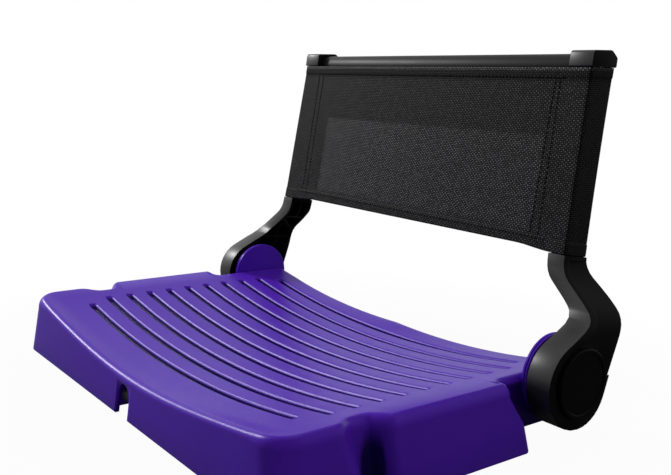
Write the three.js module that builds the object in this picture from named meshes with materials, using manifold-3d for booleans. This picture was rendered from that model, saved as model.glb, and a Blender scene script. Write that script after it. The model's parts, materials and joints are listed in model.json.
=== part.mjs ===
import * as THREE from "three";
import { mergeVertices } from "three/addons/utils/BufferGeometryUtils.js";
import Module from "manifold-3d";

const wasm = await Module();
wasm.setup();

// A folding stadium seat: a dished seat shell on a bench, with a sling backrest hinged at its rear corners.
// Millimetres, X to the sitter's left, Y to the back, Z up. Z = 0 is the bench, X = 0 the middle.

// Overall sizes
const overallDepth = 326; // front skirt to the back of the top caps
const seatDepth = 279.5; // front skirt to rear skirt
const hingeInset = 27.7; // rear skirt to the hinge axis, forward
const hingeHeight = 47; // bench to the hinge axis
const rise = 225; // hinge axis to the top of the arms' blades
const runningGap = 0.3; // between pieces that touch
const slideFit = 0.3; // between a pin and its bore, on the radius
const cutOverrun = 2; // how far a cut runs past what it cuts
const weldDistance = 0.001;
const leastRadius = 0.3; // corners moved inward never get sharper than this

// Seat shell
const shellWall = 3.5;
const plateThickness = 5;
const topFillet = 6.6; // how far in from the walls the rounded top edge reaches
const frontFilletDrop = 5.4; // how far down it reaches at the front and back
const sideFilletDrop = 10; // and along the sides
const frontHalfWidth = 212;
const rearHalfWidth = 218.8;
const sideDraft = 4;
const frontDraft = 3;
const cornerRadius = 15;
const topCornerRadius = 22; // the front corners' radius at the top of the walls
const fluteFront = 70; // front skirt to the flute's front edge
const fluteLength = 19;
const fluteFloorLength = 7;
const fluteHalfWidth = 199; // middle of the seat to the flute's floor
const fluteEdgeRadius = 6.5;
const fluteFloorRadius = 4;
const fluteFlare = 17; // at the top of the walls the flute starts this much further forward
const flaredEdgeRadius = 20; // with this radius
const floorFlare = 11; // its floor starts this much further forward there
const flaredFloorRadius = 12;
const floorEndFlare = 6; // its floor ends this much further forward
const fluteEndFlare = 4; // and so does the flute
const sideEndGap = 37.1; // hinge axis to the end of the side, at the bench
const sideEndRake = 14; // the top of that end lies this much further forward
const sideEndRadius = 6.5;
const waistHalfWidth = 200; // half the shell's width between the arms
const waistRadius = 5;
const rearCornerRadius = 12;
const rearSkirtLift = 9.7; // the skirt between the arms ends above the bench
const rimHeight = 52.9;
const rimHalfWidth = 205;
const dishDepth = 22.1; // from the rim to the bottom of the dish
const frontLift = 1.2; // how much higher the dish's bottom is at the front edge
const frontShoulder = 10; // lifts the front edge between the middle and the corners
const rearLift = 4.4; // how much higher the dish's bottom is at the back edge
const rearLiftReach = 150; // from the middle outward
const frontRoll = 24; // how far back the front edge's lift reaches
const rearRoll = 32;

// Grooves in the seat
const grooveCount = 11;
const groovePitch = 20.81;
const firstGroove = 45.3; // front skirt to the first groove
const grooveHalfWidth = 3.9;
const grooveFloorHalfWidth = 1.4;
const grooveDepth = 2.7;
const grooveHalfLength = 178;
const endGrooveHalfLength = 167;
const grooveEndLength = 5;

// Ribs, notch and hook channel under the seat
const notchWidth = 22;
const notchHeight = 25.4;
const channelHalfWidth = 12;
const ribThickness = 2.6;
const ribFoot = 4.3;
const channelLength = 216;
const crossRibDepth = 9;
const crossRibPlaces = [104, 168]; // front skirt to each cross rib

// Ears and stub axles
const earRadius = 31;
const earThickness = 4.8;
const earInset = 1.2; // the ear's inner face lies this far inside the waist
const earFootReach = 9; // the seat's top runs level into the ear over this width
const earChamfer = 1.2;
const axleRadius = 10;
const axleLength = 16.4;
const pilotRadius = 2;
const pilotDepth = 12;

// Arms
const armReach = 72.7; // hinge axis to the back of the blade's top
const barrelInner = 207.5; // middle of the seat to the barrel's inner face
const barrelWidth = 20.5;
const barrelRadius = 35.2;
const jogBottom = 41.7; // the arm steps inward between these heights above the axis
const jogTop = 72;
const bladeFoot = 76; // the arm's side runs straight from this height above the axis
const jogRadius = 20;
const bladeFootInner = 174.3;
const bladeFootWidth = 14.9;
const bladeTopInner = 163;
const bladeTopWidth = 20.6;
const innerJogTrim = 1.75; // the inner face's step is this much shorter at both ends
const borderWidth = 7;
const recessDepth = 2.7; // at its front border
const recessSlope = 0.1; // the recess runs out to nothing at the arm's back edge
const capSeatDepth = 2.4;
const skinThickness = 2.6;
const armWall = 3.4;
const armRib = 2;
const hubWall = 4.5;
const boreWall = 2.4;
const bladeTopShare = 0.6025; // front of the blade's top, as a share of the reach of its back
// shares of the barrel's radius: where the blade's front and back edges start, behind the axis
const bladeFootShares = { front: 0.58, back: 1.3636 };
// corners of the elbow, from the barrel's foot up the back: Y and the corner's radius as shares of the
// barrel's radius, Z as a share of the blade's foot
const elbowBackShares = [
  [-1, -0.4632, 1],
  [0.6193, -0.4632, 0.84],
  [1.2216, 0.3684, 1.7],
  [1.3864, 0.7237, 1.1],
];
// and down the front, to the barrel
const elbowFrontShares = [
  [0.4006, 0.5724, 0.57],
  [-1, 0.2579, 0.88],
];
// ribs in the arm's open inner side: start and end points, Y as a share of the barrel's radius, Z of the blade's foot
const armRibShares = [
  [0.989, 0.829, 0.989, 1.184],
  [0.372, 0.841, 1.487, 0.776],
  [0.578, 0.799, 1.404, 0.524],
  [0.682, 0.711, 0.682, 0.488],
  [0, 0.515, 1.404, 0.459],
  [0.867, 0.488, 0.289, 0.207],
];
const barrelRibs = 6;

// Sling, pocket and what it wraps
const slingThickness = 1.2;
const slingFoot = 85; // hinge axis to the sling's lower hem, at the arm's front edge
const hemDrop = 4; // the hem is this much lower at the arm's back edge
const panelLift = 2; // and this much higher across the panel
const seamInset = 9; // inner face of the arm's blade to the sleeve's seam
const pocketHalfWidth = 144;
const pocketFoot = 98;
const pocketTop = 173;
const pocketDepth = 12;

// Crossbar and top caps
const tubeRadius = 9;
const tubeWall = 1.5;
const tubeReach = 58.5; // hinge axis to the tube's axis, to the back
const tubeDrop = 1.5; // tube's axis above the blade's end
const tubeEndWall = 4; // material left between the tube's end and the outer face
const plugLength = 22;
const plugScrewRadius = 2;
const screwHeadRadius = 4.2;
const screwHeadHeight = 2;
const capWall = 1.5;
const capSkirt = 0; // the cap's lower edge, above the blade's end
const capHeight = 13.4;
const capChamfer = 5.5;
const capProud = 0.8;
const armHeadHeight = 11.4; // the arm's head inside the cap

// Hinge hardware on each stub axle
const bushWall = 2;
const flangeRadius = 15.5;
const washerRadius = 13.6;
const washerThickness = 1.5;
const pivotHeadRadius = 6.5;
const pivotHeadHeight = 2.4;
const pivotShankLength = 10;
const pivotCapRadius = 26.2;
const pivotCapHeight = 5.4;
const capRoom = 0.7; // round the pivot cap, in the recess
const pivotCapLip = 2.6;
const pivotCapRecess = 0.9;
const spigotWall = 1.6;
const spigotLength = 1.4;

// Stops: a lug on the ear runs in a curved slot in the barrel
const lugMiddleRadius = 22.6;
const lugHalfWidth = 2.2;
const lugAngle = THREE.MathUtils.degToRad(-62);
const lugHalfAngle = THREE.MathUtils.degToRad(5);
const lugLength = 8;
const slotClearance = 0.5;
const foldAngle = THREE.MathUtils.degToRad(98);
const stopPlay = THREE.MathUtils.degToRad(1.2);

// Bench hook
const hookPinRadius = 3;
const hookPinHeight = 14;
const hookPinSetback = 11.7; // front skirt to the pin
const knuckleRadius = 7;
const hookWidth = 16;
const hookThickness = 4.5;
const hookLength = 62; // pin to the hook's tip
const hookLip = 12;
const hookBossRadius = 6;

// Finishes
const purplePlastic = { color: 0x4b2f9e, roughness: 0.35, metalness: 0 };
const blackPlastic = { color: 0x1b1b1c, roughness: 0.42, metalness: 0 };
const blackMesh = { color: 0x242424, roughness: 0.8, metalness: 0 };
const naturalNylon = { color: 0xd8d4c6, roughness: 0.5, metalness: 0 };
const zincSteel = { color: 0xb4b8bc, roughness: 0.35, metalness: 1 };
const blackSteel = { color: 0x161616, roughness: 0.5, metalness: 0.3 };

// Places worked out from the sizes above
const seatFront = -overallDepth / 2;
const seatRear = seatFront + seatDepth;
const hingeY = seatRear - hingeInset;
const flushSling = slingThickness + runningGap;
const tubeZ = rise + tubeDrop;
const earInner = waistHalfWidth - earInset;
const earOuter = earInner + earThickness;
const flangeThickness = barrelInner - earOuter - 2 * runningGap;
const axleEnd = earOuter + axleLength;
const barrelOuter = barrelInner + barrelWidth;
const barrelBore = axleRadius + slideFit + bushWall + runningGap;
const hookPinY = seatFront + hookPinSetback;

// Turning geometry into solids and back

function solidOf(geometry) {
  const flat = geometry.index ? geometry.toNonIndexed() : geometry;
  const bare = new THREE.BufferGeometry().setAttribute("position", flat.getAttribute("position"));
  const merged = mergeVertices(bare, weldDistance);
  return new wasm.Manifold(
    new wasm.Mesh({
      numProp: 3,
      vertProperties: merged.attributes.position.array,
      triVerts: new Uint32Array(merged.index.array),
    }),
  );
}

function geometryOf(solid) {
  const { numProp, vertProperties, triVerts } = solid.getMesh();
  const positions = new Float32Array((vertProperties.length / numProp) * 3);
  for (let v = 0; v * numProp < vertProperties.length; v++) {
    positions.set(vertProperties.subarray(v * numProp, v * numProp + 3), v * 3);
  }
  const geometry = new THREE.BufferGeometry().setAttribute(
    "position",
    new THREE.BufferAttribute(positions, 3),
  );
  geometry.setIndex(new THREE.BufferAttribute(triVerts, 1));
  geometry.computeVertexNormals();
  return geometry;
}

function pieceOf(name, shape, finish) {
  const geometry = shape.isBufferGeometry ? shape : geometryOf(shape);
  const mesh = new THREE.Mesh(geometry, new THREE.MeshStandardMaterial(finish));
  mesh.name = name;
  return mesh;
}

// Outlines

// A closed outline, counter-clockwise, from corners { x, y, r, arc, edge }: each corner is rounded with arc
// steps and the edge after it is split into edge steps. A positive inset moves the whole outline inward.
function roundedLoop(corners, inset = 0) {
  const count = corners.length;
  const away = (i) => {
    const a = corners[i % count];
    const b = corners[(i + 1) % count];
    return new THREE.Vector2(b.x - a.x, b.y - a.y).normalize();
  };
  const rounded = corners.map((corner, i) => {
    const before = away(i + count - 1);
    const after = away(i);
    const turn = Math.atan2(before.cross(after), before.dot(after));
    const inwardBefore = new THREE.Vector2(-before.y, before.x);
    const inwardAfter = new THREE.Vector2(-after.y, after.x);
    const shift = inwardBefore.clone().add(inwardAfter);
    const tip = new THREE.Vector2(corner.x, corner.y).addScaledVector(
      shift,
      inset / (1 + inwardBefore.dot(inwardAfter)),
    );
    const radius = Math.max(corner.r - Math.sign(turn) * inset, leastRadius);
    const start = tip.clone().addScaledVector(before, -radius * Math.tan(Math.abs(turn) / 2));
    const centre = start.clone().addScaledVector(inwardBefore, Math.sign(turn) * radius);
    const steps = corner.arc ?? 4;
    return Array.from({ length: steps + 1 }, (_, k) =>
      start.clone().rotateAround(centre, (turn * k) / steps),
    );
  });
  return rounded.flatMap((arc, i) => {
    const last = arc[arc.length - 1];
    const next = rounded[(i + 1) % count][0];
    const steps = corners[i].edge ?? 1;
    const between = Array.from({ length: steps - 1 }, (_, k) =>
      last.clone().lerp(next, (k + 1) / steps),
    );
    return [...arc, ...between];
  });
}

function extruded(outline, length) {
  const shape = new THREE.Shape(outline);
  return new THREE.ExtrudeGeometry(shape, { depth: length, bevelEnabled: false });
}

// An outline in Y and Z, drawn out along X from one place to another
function alongX(outline, from, to) {
  const turn = new THREE.Matrix4().makeBasis(
    new THREE.Vector3(0, 1, 0),
    new THREE.Vector3(0, 0, 1),
    new THREE.Vector3(1, 0, 0),
  );
  return solidOf(extruded(outline, to - from).applyMatrix4(turn).translate(from, 0, 0));
}

// An outline in X and Z, drawn out along Y
function alongY(outline, from, to) {
  const turn = new THREE.Matrix4().makeBasis(
    new THREE.Vector3(1, 0, 0),
    new THREE.Vector3(0, 0, 1),
    new THREE.Vector3(0, -1, 0),
  );
  return solidOf(extruded(outline, to - from).applyMatrix4(turn).translate(0, to, 0));
}

function alongZ(outline, from, to) {
  return solidOf(extruded(outline, to - from).translate(0, 0, from));
}

function block(x0, x1, y0, y1, z0, z1) {
  const box = new THREE.BoxGeometry(x1 - x0, y1 - y0, z1 - z0);
  return solidOf(box.translate((x0 + x1) / 2, (y0 + y1) / 2, (z0 + z1) / 2));
}

// A turned piece whose axis is X: profile points are [radius, x], from one end of the axis to the other
function turnedX(profile, steps = 32) {
  const points = profile.map(([radius, x]) => new THREE.Vector2(radius, x));
  return solidOf(new THREE.LatheGeometry(points, steps).rotateZ(-Math.PI / 2));
}

function rodX(radius, from, to, steps = 32) {
  return turnedX([[0, from], [radius, from], [radius, to], [0, to]], steps);
}

function ringX(inner, outer, from, to, steps = 32) {
  return turnedX([[inner, from], [outer, from], [outer, to], [inner, to], [inner, from]], steps);
}

function pointsOf(...pairs) {
  return pairs.map(([a, b]) => new THREE.Vector2(a, b));
}

// The seat's top surface

const smooth = (value) => THREE.MathUtils.smoothstep(value, 0, 1);

function topHeight(x, y) {
  const front = smooth((seatFront + frontRoll - y) / frontRoll);
  const rear = smooth((y - seatRear + rearRoll) / rearRoll);
  const across = Math.min((x / rimHalfWidth) ** 2, 1);
  const inward = Math.max(1 - Math.abs(x) / rearLiftReach, 0);
  return (
    rimHeight -
    dishDepth * (1 - across) +
    front * (1 - across) * (frontLift + frontShoulder * across) +
    rear * rearLift * inward ** 1.5
  );
}

const groovePlaces = Array.from(
  { length: grooveCount },
  (_, i) => seatFront + firstGroove + i * groovePitch,
);

function grooveReach(i) {
  return i === 0 || i === grooveCount - 1 ? endGrooveHalfLength : grooveHalfLength;
}

function grooveDip(x, y) {
  const i = groovePlaces.findIndex((place) => Math.abs(y - place) < grooveHalfWidth);
  if (i < 0) return 0;
  const aside = Math.max(Math.abs(y - groovePlaces[i]) - grooveFloorHalfWidth, 0);
  const across = 1 - aside / (grooveHalfWidth - grooveFloorHalfWidth);
  const along = Math.min(Math.max((grooveReach(i) - Math.abs(x)) / grooveEndLength, 0), 1);
  return grooveDepth * across * along;
}

// A solid under a height function on a grid, down to a flat floor
function under(xs, ys, height, floor) {
  const positions = [];
  const across = xs.length;
  ys.forEach((y) => xs.forEach((x) => positions.push(x, y, height(x, y))));
  const top = (i, j) => j * across + i;
  const faces = [];
  for (let j = 0; j + 1 < ys.length; j++) {
    for (let i = 0; i + 1 < across; i++) {
      faces.push(top(i, j), top(i + 1, j), top(i + 1, j + 1));
      faces.push(top(i, j), top(i + 1, j + 1), top(i, j + 1));
    }
  }
  const edge = [];
  for (let i = 0; i + 1 < across; i++) edge.push([i, 0]);
  for (let j = 0; j + 1 < ys.length; j++) edge.push([across - 1, j]);
  for (let i = across - 1; i > 0; i--) edge.push([i, ys.length - 1]);
  for (let j = ys.length - 1; j > 0; j--) edge.push([0, j]);
  const firstLow = positions.length / 3;
  edge.forEach(([i, j]) => positions.push(xs[i], ys[j], floor));
  const middle = positions.length / 3;
  positions.push((xs[0] + xs[across - 1]) / 2, (ys[0] + ys[ys.length - 1]) / 2, floor);
  edge.forEach(([i, j], k) => {
    const next = (k + 1) % edge.length;
    const a = top(i, j);
    const b = top(edge[next][0], edge[next][1]);
    faces.push(a, firstLow + k, firstLow + next);
    faces.push(a, firstLow + next, b);
    faces.push(firstLow + next, firstLow + k, middle);
  });
  const geometry = new THREE.BufferGeometry();
  geometry.setAttribute("position", new THREE.Float32BufferAttribute(positions, 3));
  geometry.setIndex(faces);
  return solidOf(geometry);
}

const evenly = (from, to, steps) =>
  Array.from({ length: steps + 1 }, (_, k) => from + ((to - from) * k) / steps);

// Seat shell

// The shell's plan outline at the bench (level 0) or at the top of the walls (level 1)
function shellCorners(level) {
  const front = seatFront + frontDraft * level;
  const frontX = frontHalfWidth - sideDraft * level;
  const rearX = rearHalfWidth - sideDraft * level;
  const mix = THREE.MathUtils.lerp;
  const fluteStart = seatFront + fluteFront;
  const fluteEnd = fluteStart + fluteLength;
  const floorStart = (fluteStart + fluteEnd - fluteFloorLength) / 2;
  const floorEnd = floorStart + fluteFloorLength;
  const frontRadius = mix(cornerRadius, topCornerRadius, level);
  const edgeRadius = mix(fluteEdgeRadius, flaredEdgeRadius, level);
  const floorRadius = mix(fluteFloorRadius, flaredFloorRadius, level);
  const sideStop = hingeY - sideEndGap - sideEndRake * level ** 2;
  const right = [
    { x: frontX, y: front, r: frontRadius, arc: 5, edge: 3 },
    { x: frontX, y: fluteStart - fluteFlare * level, r: edgeRadius, arc: 3 },
    { x: fluteHalfWidth, y: floorStart - floorFlare * level, r: floorRadius, arc: 3 },
    { x: fluteHalfWidth, y: floorEnd - floorEndFlare * level, r: fluteFloorRadius, arc: 3 },
    { x: rearX, y: fluteEnd - fluteEndFlare * level, r: fluteEdgeRadius, arc: 3, edge: 2 },
    { x: rearX, y: sideStop, r: sideEndRadius, arc: 3 },
    { x: waistHalfWidth, y: sideStop, r: waistRadius, arc: 3, edge: 2 },
    { x: waistHalfWidth, y: seatRear, r: rearCornerRadius, arc: 4, edge: 16 },
  ];
  const left = right
    .map((corner, i) => ({ ...corner, x: -corner.x, edge: i > 0 ? right[i - 1].edge : 18 }))
    .reverse();
  return [...right, ...left];
}

// How far down the rounded top edge reaches at a place
function filletDrop(x) {
  const toSide = smooth((Math.abs(x) - frontHalfWidth + 3 * cornerRadius) / (2 * cornerRadius));
  return frontFilletDrop + (sideFilletDrop - frontFilletDrop) * toSide;
}

// The walls with their rounded top edge, as one closed ring
function shellRing() {
  const quarter = [0, 1, 2, 3].map((k) => (k * Math.PI) / 6);
  const underFillet = (top) => top - plateThickness - (topFillet - shellWall);
  const section = [
    { level: 0, inset: 0, height: () => 0 },
    { level: 1 / 2, inset: 0, height: (top, drop) => (top - drop) / 2 },
    ...quarter.map((angle) => ({
      level: 1,
      inset: topFillet * (1 - Math.cos(angle)),
      height: (top, drop) => top - drop * (1 - Math.sin(angle)),
    })),
    { level: 1, inset: topFillet, height: (top) => top - plateThickness },
    { level: 1, inset: shellWall, height: underFillet },
    { level: 1 / 2, inset: shellWall, height: (top) => underFillet(top) / 2 },
    { level: 0, inset: shellWall, height: () => 0 },
  ];
  const rings = section.map(({ level, inset, height }) =>
    roundedLoop(shellCorners(level), inset).map(
      (p) => new THREE.Vector3(p.x, p.y, height(topHeight(p.x, p.y), filletDrop(p.x))),
    ),
  );
  const around = rings[0].length;
  const positions = rings.flat().flatMap((p) => p.toArray());
  const faces = [];
  rings.forEach((_, j) => {
    const here = j * around;
    const above = ((j + 1) % rings.length) * around;
    for (let i = 0; i < around; i++) {
      const next = (i + 1) % around;
      faces.push(here + i, here + next, above + next);
      faces.push(here + i, above + next, above + i);
    }
  });
  const geometry = new THREE.BufferGeometry();
  geometry.setAttribute("position", new THREE.Float32BufferAttribute(positions, 3));
  geometry.setIndex(faces);
  return solidOf(geometry);
}

// The dished plate with its grooves
function shellPlate() {
  const halfWidth = rearHalfWidth + cutOverrun;
  const ends = [grooveHalfLength, endGrooveHalfLength].flatMap((reach) => [
    reach,
    reach - grooveEndLength,
  ]);
  const inside = evenly(0, endGrooveHalfLength - 2 * grooveEndLength, 8);
  const half = [...inside, ...ends, rimHalfWidth, halfWidth].sort((a, b) => a - b);
  const xs = [...half.slice(1).map((x) => -x).reverse(), ...half];
  const grooveLines = groovePlaces.flatMap((y) => [
    y - grooveHalfWidth,
    y - grooveFloorHalfWidth,
    y + grooveFloorHalfWidth,
    y + grooveHalfWidth,
  ]);
  const frontLines = evenly(seatFront, groovePlaces[0] - grooveHalfWidth, 5).slice(0, -1);
  const rearLines = evenly(groovePlaces[grooveCount - 1] + grooveHalfWidth, seatRear, 4).slice(1);
  const ys = [...frontLines, ...grooveLines, ...rearLines];
  const above = under(xs, ys, (x, y) => topHeight(x, y) - grooveDip(x, y), -cutOverrun);
  const joint = topFillet - shellWall / 4;
  const within = roundedLoop(shellCorners(1), joint);
  return above
    .intersect(alongZ(within, -shellWall, rimHeight + plateThickness))
    .subtract(underside(0));
}

// Everything under the plate's lower face, lowered by depth
function underside(depth) {
  const reach = rearHalfWidth + 2 * cutOverrun;
  const xs = evenly(-reach, reach, 26);
  const ys = [
    ...evenly(seatFront - cutOverrun, seatFront + frontRoll, 4),
    ...evenly(seatFront + frontRoll, seatRear - rearRoll, 3).slice(1),
    ...evenly(seatRear - rearRoll, seatRear + cutOverrun, 4).slice(1),
  ];
  const clampY = (y) => Math.min(Math.max(y, seatFront), seatRear);
  return under(
    xs,
    ys,
    (x, y) => topHeight(x, clampY(y)) - plateThickness - depth,
    -2 * cutOverrun,
  );
}

function shellRibs() {
  const inFront = seatFront + frontDraft + runningGap;
  const reach = rearHalfWidth - sideDraft - shellWall / 2;
  const channel = [-1, 1].map((side) => {
    const near = side * channelHalfWidth;
    const far = side * (channelHalfWidth + ribThickness);
    const wall = block(
      Math.min(near, far),
      Math.max(near, far),
      inFront,
      seatFront + channelLength,
      ribFoot,
      rimHeight,
    );
    return wall.intersect(underside(-shellWall / 4));
  });
  const band = underside(-shellWall / 4).subtract(underside(crossRibDepth));
  const across = crossRibPlaces.map((place) =>
    block(
      -reach,
      reach,
      seatFront + place,
      seatFront + place + ribThickness,
      0,
      rimHeight,
    ).intersect(band),
  );
  return [...channel, ...across];
}

// Bosses on the channel's ribs that carry the hook's pin
function hookBosses() {
  return [-1, 1].map((side) => {
    const inner = side * (hookWidth / 2 + runningGap);
    const outer = side * (channelHalfWidth + ribThickness);
    return rodX(hookBossRadius, Math.min(inner, outer), Math.max(inner, outer), 20);
  });
}

function notchCut() {
  const radius = notchWidth / 2;
  const shoulder = notchHeight - radius;
  const arch = Array.from({ length: 13 }, (_, k) => {
    const angle = (k * Math.PI) / 12;
    return new THREE.Vector2(radius * Math.cos(angle), shoulder + radius * Math.sin(angle));
  });
  const outline = [...pointsOf([-radius, -cutOverrun], [radius, -cutOverrun]), ...arch];
  return alongY(outline, seatFront - cutOverrun, seatFront + shellWall + frontDraft);
}

function ear() {
  const disc = turnedX([
    [0, earInner],
    [earRadius - earChamfer, earInner],
    [earRadius, earInner + earChamfer],
    [earRadius, earOuter - earChamfer],
    [earRadius - earChamfer, earOuter],
    [0, earOuter],
  ], 40);
  const axle = rodX(axleRadius, earOuter - earChamfer, axleEnd);
  return disc.add(axle).add(stopLug());
}

// A piece of a ring round the hinge axis, between two angles
function arcSegment(inner, outer, fromAngle, toAngle, steps, fromX, toX) {
  const angles = evenly(fromAngle, toAngle, steps);
  const at = (radius, angle) =>
    new THREE.Vector2(radius * Math.cos(angle), radius * Math.sin(angle));
  const outline = [
    ...angles.map((angle) => at(outer, angle)),
    ...angles.reverse().map((angle) => at(inner, angle)),
  ];
  return alongX(outline, fromX, toX);
}

// Fills the rounded edge of the seat's top where it meets the ear
function earFoot() {
  const ys = evenly(hingeY - earRadius + earThickness, seatRear - topFillet, 4);
  const xs = [earInner - earFootReach, earInner - earFootReach / 2, earInner + earThickness / 2];
  return under(xs, ys, topHeight, rimHeight - sideFilletDrop - shellWall);
}

function stopLug() {
  return arcSegment(
    lugMiddleRadius - lugHalfWidth,
    lugMiddleRadius + lugHalfWidth,
    lugAngle - lugHalfAngle,
    lugAngle + lugHalfAngle,
    2,
    earOuter - earChamfer,
    earOuter + lugLength,
  );
}

function seatShell() {
  const pilot = rodX(pilotRadius, axleEnd - pilotDepth, axleEnd + cutOverrun, 16);
  const rightEar = ear().subtract(pilot).translate([0, hingeY, hingeHeight]);
  const ears = geometryOf(rightEar);
  const leftEar = solidOf(mirrored(ears));
  const lift = block(
    -waistHalfWidth - earThickness,
    waistHalfWidth + earThickness,
    hingeY - sideEndGap + shellWall + runningGap,
    seatRear + cutOverrun,
    -cutOverrun,
    rearSkirtLift,
  );
  const rightFoot = earFoot();
  const leftFoot = solidOf(mirrored(geometryOf(rightFoot)));
  let shell = shellRing().add(shellPlate()).add(rightFoot).add(leftFoot);
  shellRibs().forEach((rib) => {
    shell = shell.add(rib);
  });
  shell = shell.subtract(lift).add(rightEar).add(leftEar);
  hookBosses().forEach((boss) => {
    shell = shell.add(boss.translate([0, hookPinY, hookPinHeight]));
  });
  const reach = channelHalfWidth + ribThickness + cutOverrun;
  const pinHole = rodX(hookPinRadius + slideFit, -reach, reach, 20);
  return shell.subtract(notchCut()).subtract(pinHole.translate([0, hookPinY, hookPinHeight]));
}

// The same shape on the other side of the seat, with its faces still pointing out
function mirrored(geometry) {
  const other = (geometry.index ? geometry.toNonIndexed() : geometry.clone()).scale(-1, 1, 1);
  const position = other.getAttribute("position");
  for (let i = 0; i < position.count; i += 3) {
    const a = new THREE.Vector3().fromBufferAttribute(position, i + 1);
    const b = new THREE.Vector3().fromBufferAttribute(position, i + 2);
    position.setXYZ(i + 1, b.x, b.y, b.z);
    position.setXYZ(i + 2, a.x, a.y, a.z);
  }
  return other;
}

// Arms, in a frame whose origin is on the hinge axis

function armSide(inset) {
  const elbowCorner = ([reach, up, round]) => ({
    x: reach * barrelRadius,
    y: up * bladeFoot,
    r: round * barrelRadius,
    arc: round > 0.8 && round < 1.05 ? 7 : 3,
  });
  const { front, back } = bladeFootShares;
  const bladeCorners = [
    { x: back * barrelRadius, y: bladeFoot, r: jogRadius, arc: 3 },
    { x: armReach, y: rise, r: capSeatDepth, arc: 3 },
    { x: frontAtTop(), y: rise, r: capSeatDepth, arc: 3 },
    { x: front * barrelRadius, y: bladeFoot, r: jogRadius, arc: 3 },
  ];
  const corners = [
    ...elbowBackShares.map(elbowCorner),
    ...bladeCorners,
    ...elbowFrontShares.map(elbowCorner),
  ];
  return roundedLoop(corners, inset);
}

// An edge of the arm seen from the front, from the barrel's foot up, moved out by shift
function armEdge(barrelX, footX, topX, shift, trim = 0) {
  return [
    { x: barrelX + shift, y: -2 * barrelRadius, r: armRib / 2, arc: 1 },
    { x: barrelX + shift, y: jogBottom + trim, r: jogRadius },
    { x: footX + shift, y: jogTop - trim, r: jogRadius },
    { x: 2 * topX - footX + shift, y: 2 * rise - jogTop, r: armRib / 2, arc: 1 },
  ];
}

function outerEdge(shift) {
  const foot = bladeFootInner + bladeFootWidth;
  return armEdge(barrelOuter, foot, bladeTopInner + bladeTopWidth, shift);
}

function innerEdge(shift) {
  return armEdge(barrelInner, bladeFootInner, bladeTopInner, shift, innerJogTrim);
}

// What lies between two such edges; with a lean, it moves outward towards the arm's back
function between(inner, outer, lean = 0) {
  const body = alongY(roundedLoop([...outer, ...inner.reverse()]), -2 * armReach, 2 * armReach);
  const back = bladeFootShares.back * barrelRadius;
  return body.transform([1, 0, 0, 0, lean, 1, 0, 0, 0, 0, 1, 0, -lean * back, 0, 0, 1]);
}

function armSlab(sideInset, inner, outer) {
  const reach = barrelOuter + 2 * cutOverrun;
  return alongX(armSide(sideInset), bladeTopInner / 2, reach).intersect(between(inner, outer));
}

// Everything in the arm's frame below a cut parallel to the sling's hem, or above it
function besideHem(offset, side) {
  const front = bladeFootShares.front * barrelRadius;
  const slope = hemDrop / (bladeFootShares.back * barrelRadius - front);
  const at = (y) => slingFoot + offset - slope * (y - front);
  const far = side * rise;
  const reach = 2 * armReach;
  const outline = pointsOf([-reach, at(-reach)], [-reach, far], [reach, far], [reach, at(reach)]);
  return alongX(outline, bladeTopInner / 2, 2 * barrelOuter);
}

function armRibs() {
  const length = (a, b) => Math.hypot(b.x - a.x, b.y - a.y);
  const bars = armRibShares.map(([y0, z0, y1, z1]) => {
    const a = new THREE.Vector2(y0 * barrelRadius, z0 * bladeFoot);
    const b = new THREE.Vector2(y1 * barrelRadius, z1 * bladeFoot);
    return { a, b };
  });
  const spokes = Array.from({ length: barrelRibs }, (_, k) => {
    const angle = Math.PI / 6 + (k * 2 * Math.PI) / barrelRibs;
    const b = new THREE.Vector2(barrelRadius * Math.cos(angle), barrelRadius * Math.sin(angle));
    return { a: b.clone().multiplyScalar(barrelBore / barrelRadius), b };
  });
  return [...bars, ...spokes].map(({ a, b }) => {
    const along = b.clone().sub(a).normalize();
    const side = new THREE.Vector2(-along.y, along.x).multiplyScalar(armRib / 2);
    const corners = [
      a.clone().sub(side),
      b.clone().sub(side),
      b.clone().add(side),
      a.clone().add(side),
    ];
    return alongX(corners, bladeTopInner / 2, barrelOuter + cutOverrun);
  });
}

// The recess in the outer face: open to the back above the pivot cap, with a border in front
function armRecess() {
  const low = alongX(armSide(borderWidth), bladeTopInner / 2, barrelOuter + cutOverrun);
  const openBack = low.translate([0, borderWidth + cutOverrun, 0]);
  const far = barrelOuter + cutOverrun;
  return low
    .add(openBack)
    .intersect(between(outerEdge(0), outerEdge(3 * barrelWidth), recessSlope))
    .intersect(between(outerEdge(-recessDepth), outerEdge(3 * barrelWidth)))
    .intersect(besideHem(-armWall, -1))
    .intersect(block(bladeTopInner, far, -armReach, armReach, 0, rise))
    .subtract(rodX(pivotCapRadius, bladeTopInner, far, 40))
    .add(rodX(pivotCapRadius + capRoom, barrelOuter - capSeatDepth, far, 40));
}

// The open inner side, around the hub, the ribs and the stop's slot
function armHollow() {
  const hub = rodX(barrelBore + hubWall, bladeTopInner, barrelOuter);
  const slotWalls = arcSegment(
    lugMiddleRadius - lugHalfWidth - slotClearance - boreWall,
    lugMiddleRadius + lugHalfWidth + slotClearance + boreWall,
    lugAngle - lugHalfAngle - foldAngle - 4 * stopPlay,
    lugAngle + lugHalfAngle + 4 * stopPlay,
    12,
    barrelInner,
    barrelOuter,
  );
  const skin = outerEdge(-skinThickness - recessDepth);
  let hollow = armSlab(armWall, innerEdge(-barrelWidth), skin)
    .intersect(between(innerEdge(-2 * barrelWidth), outerEdge(-skinThickness), recessSlope))
    .intersect(besideHem(-armWall, -1))
    .subtract(hub)
    .subtract(slotWalls);
  armRibs().forEach((rib) => {
    hollow = hollow.subtract(rib);
  });
  return hollow;
}

function armLower() {
  return armSlab(0, innerEdge(0), outerEdge(0))
    .intersect(besideHem(-runningGap, -1))
    .subtract(armRecess())
    .subtract(armHollow());
}

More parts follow.
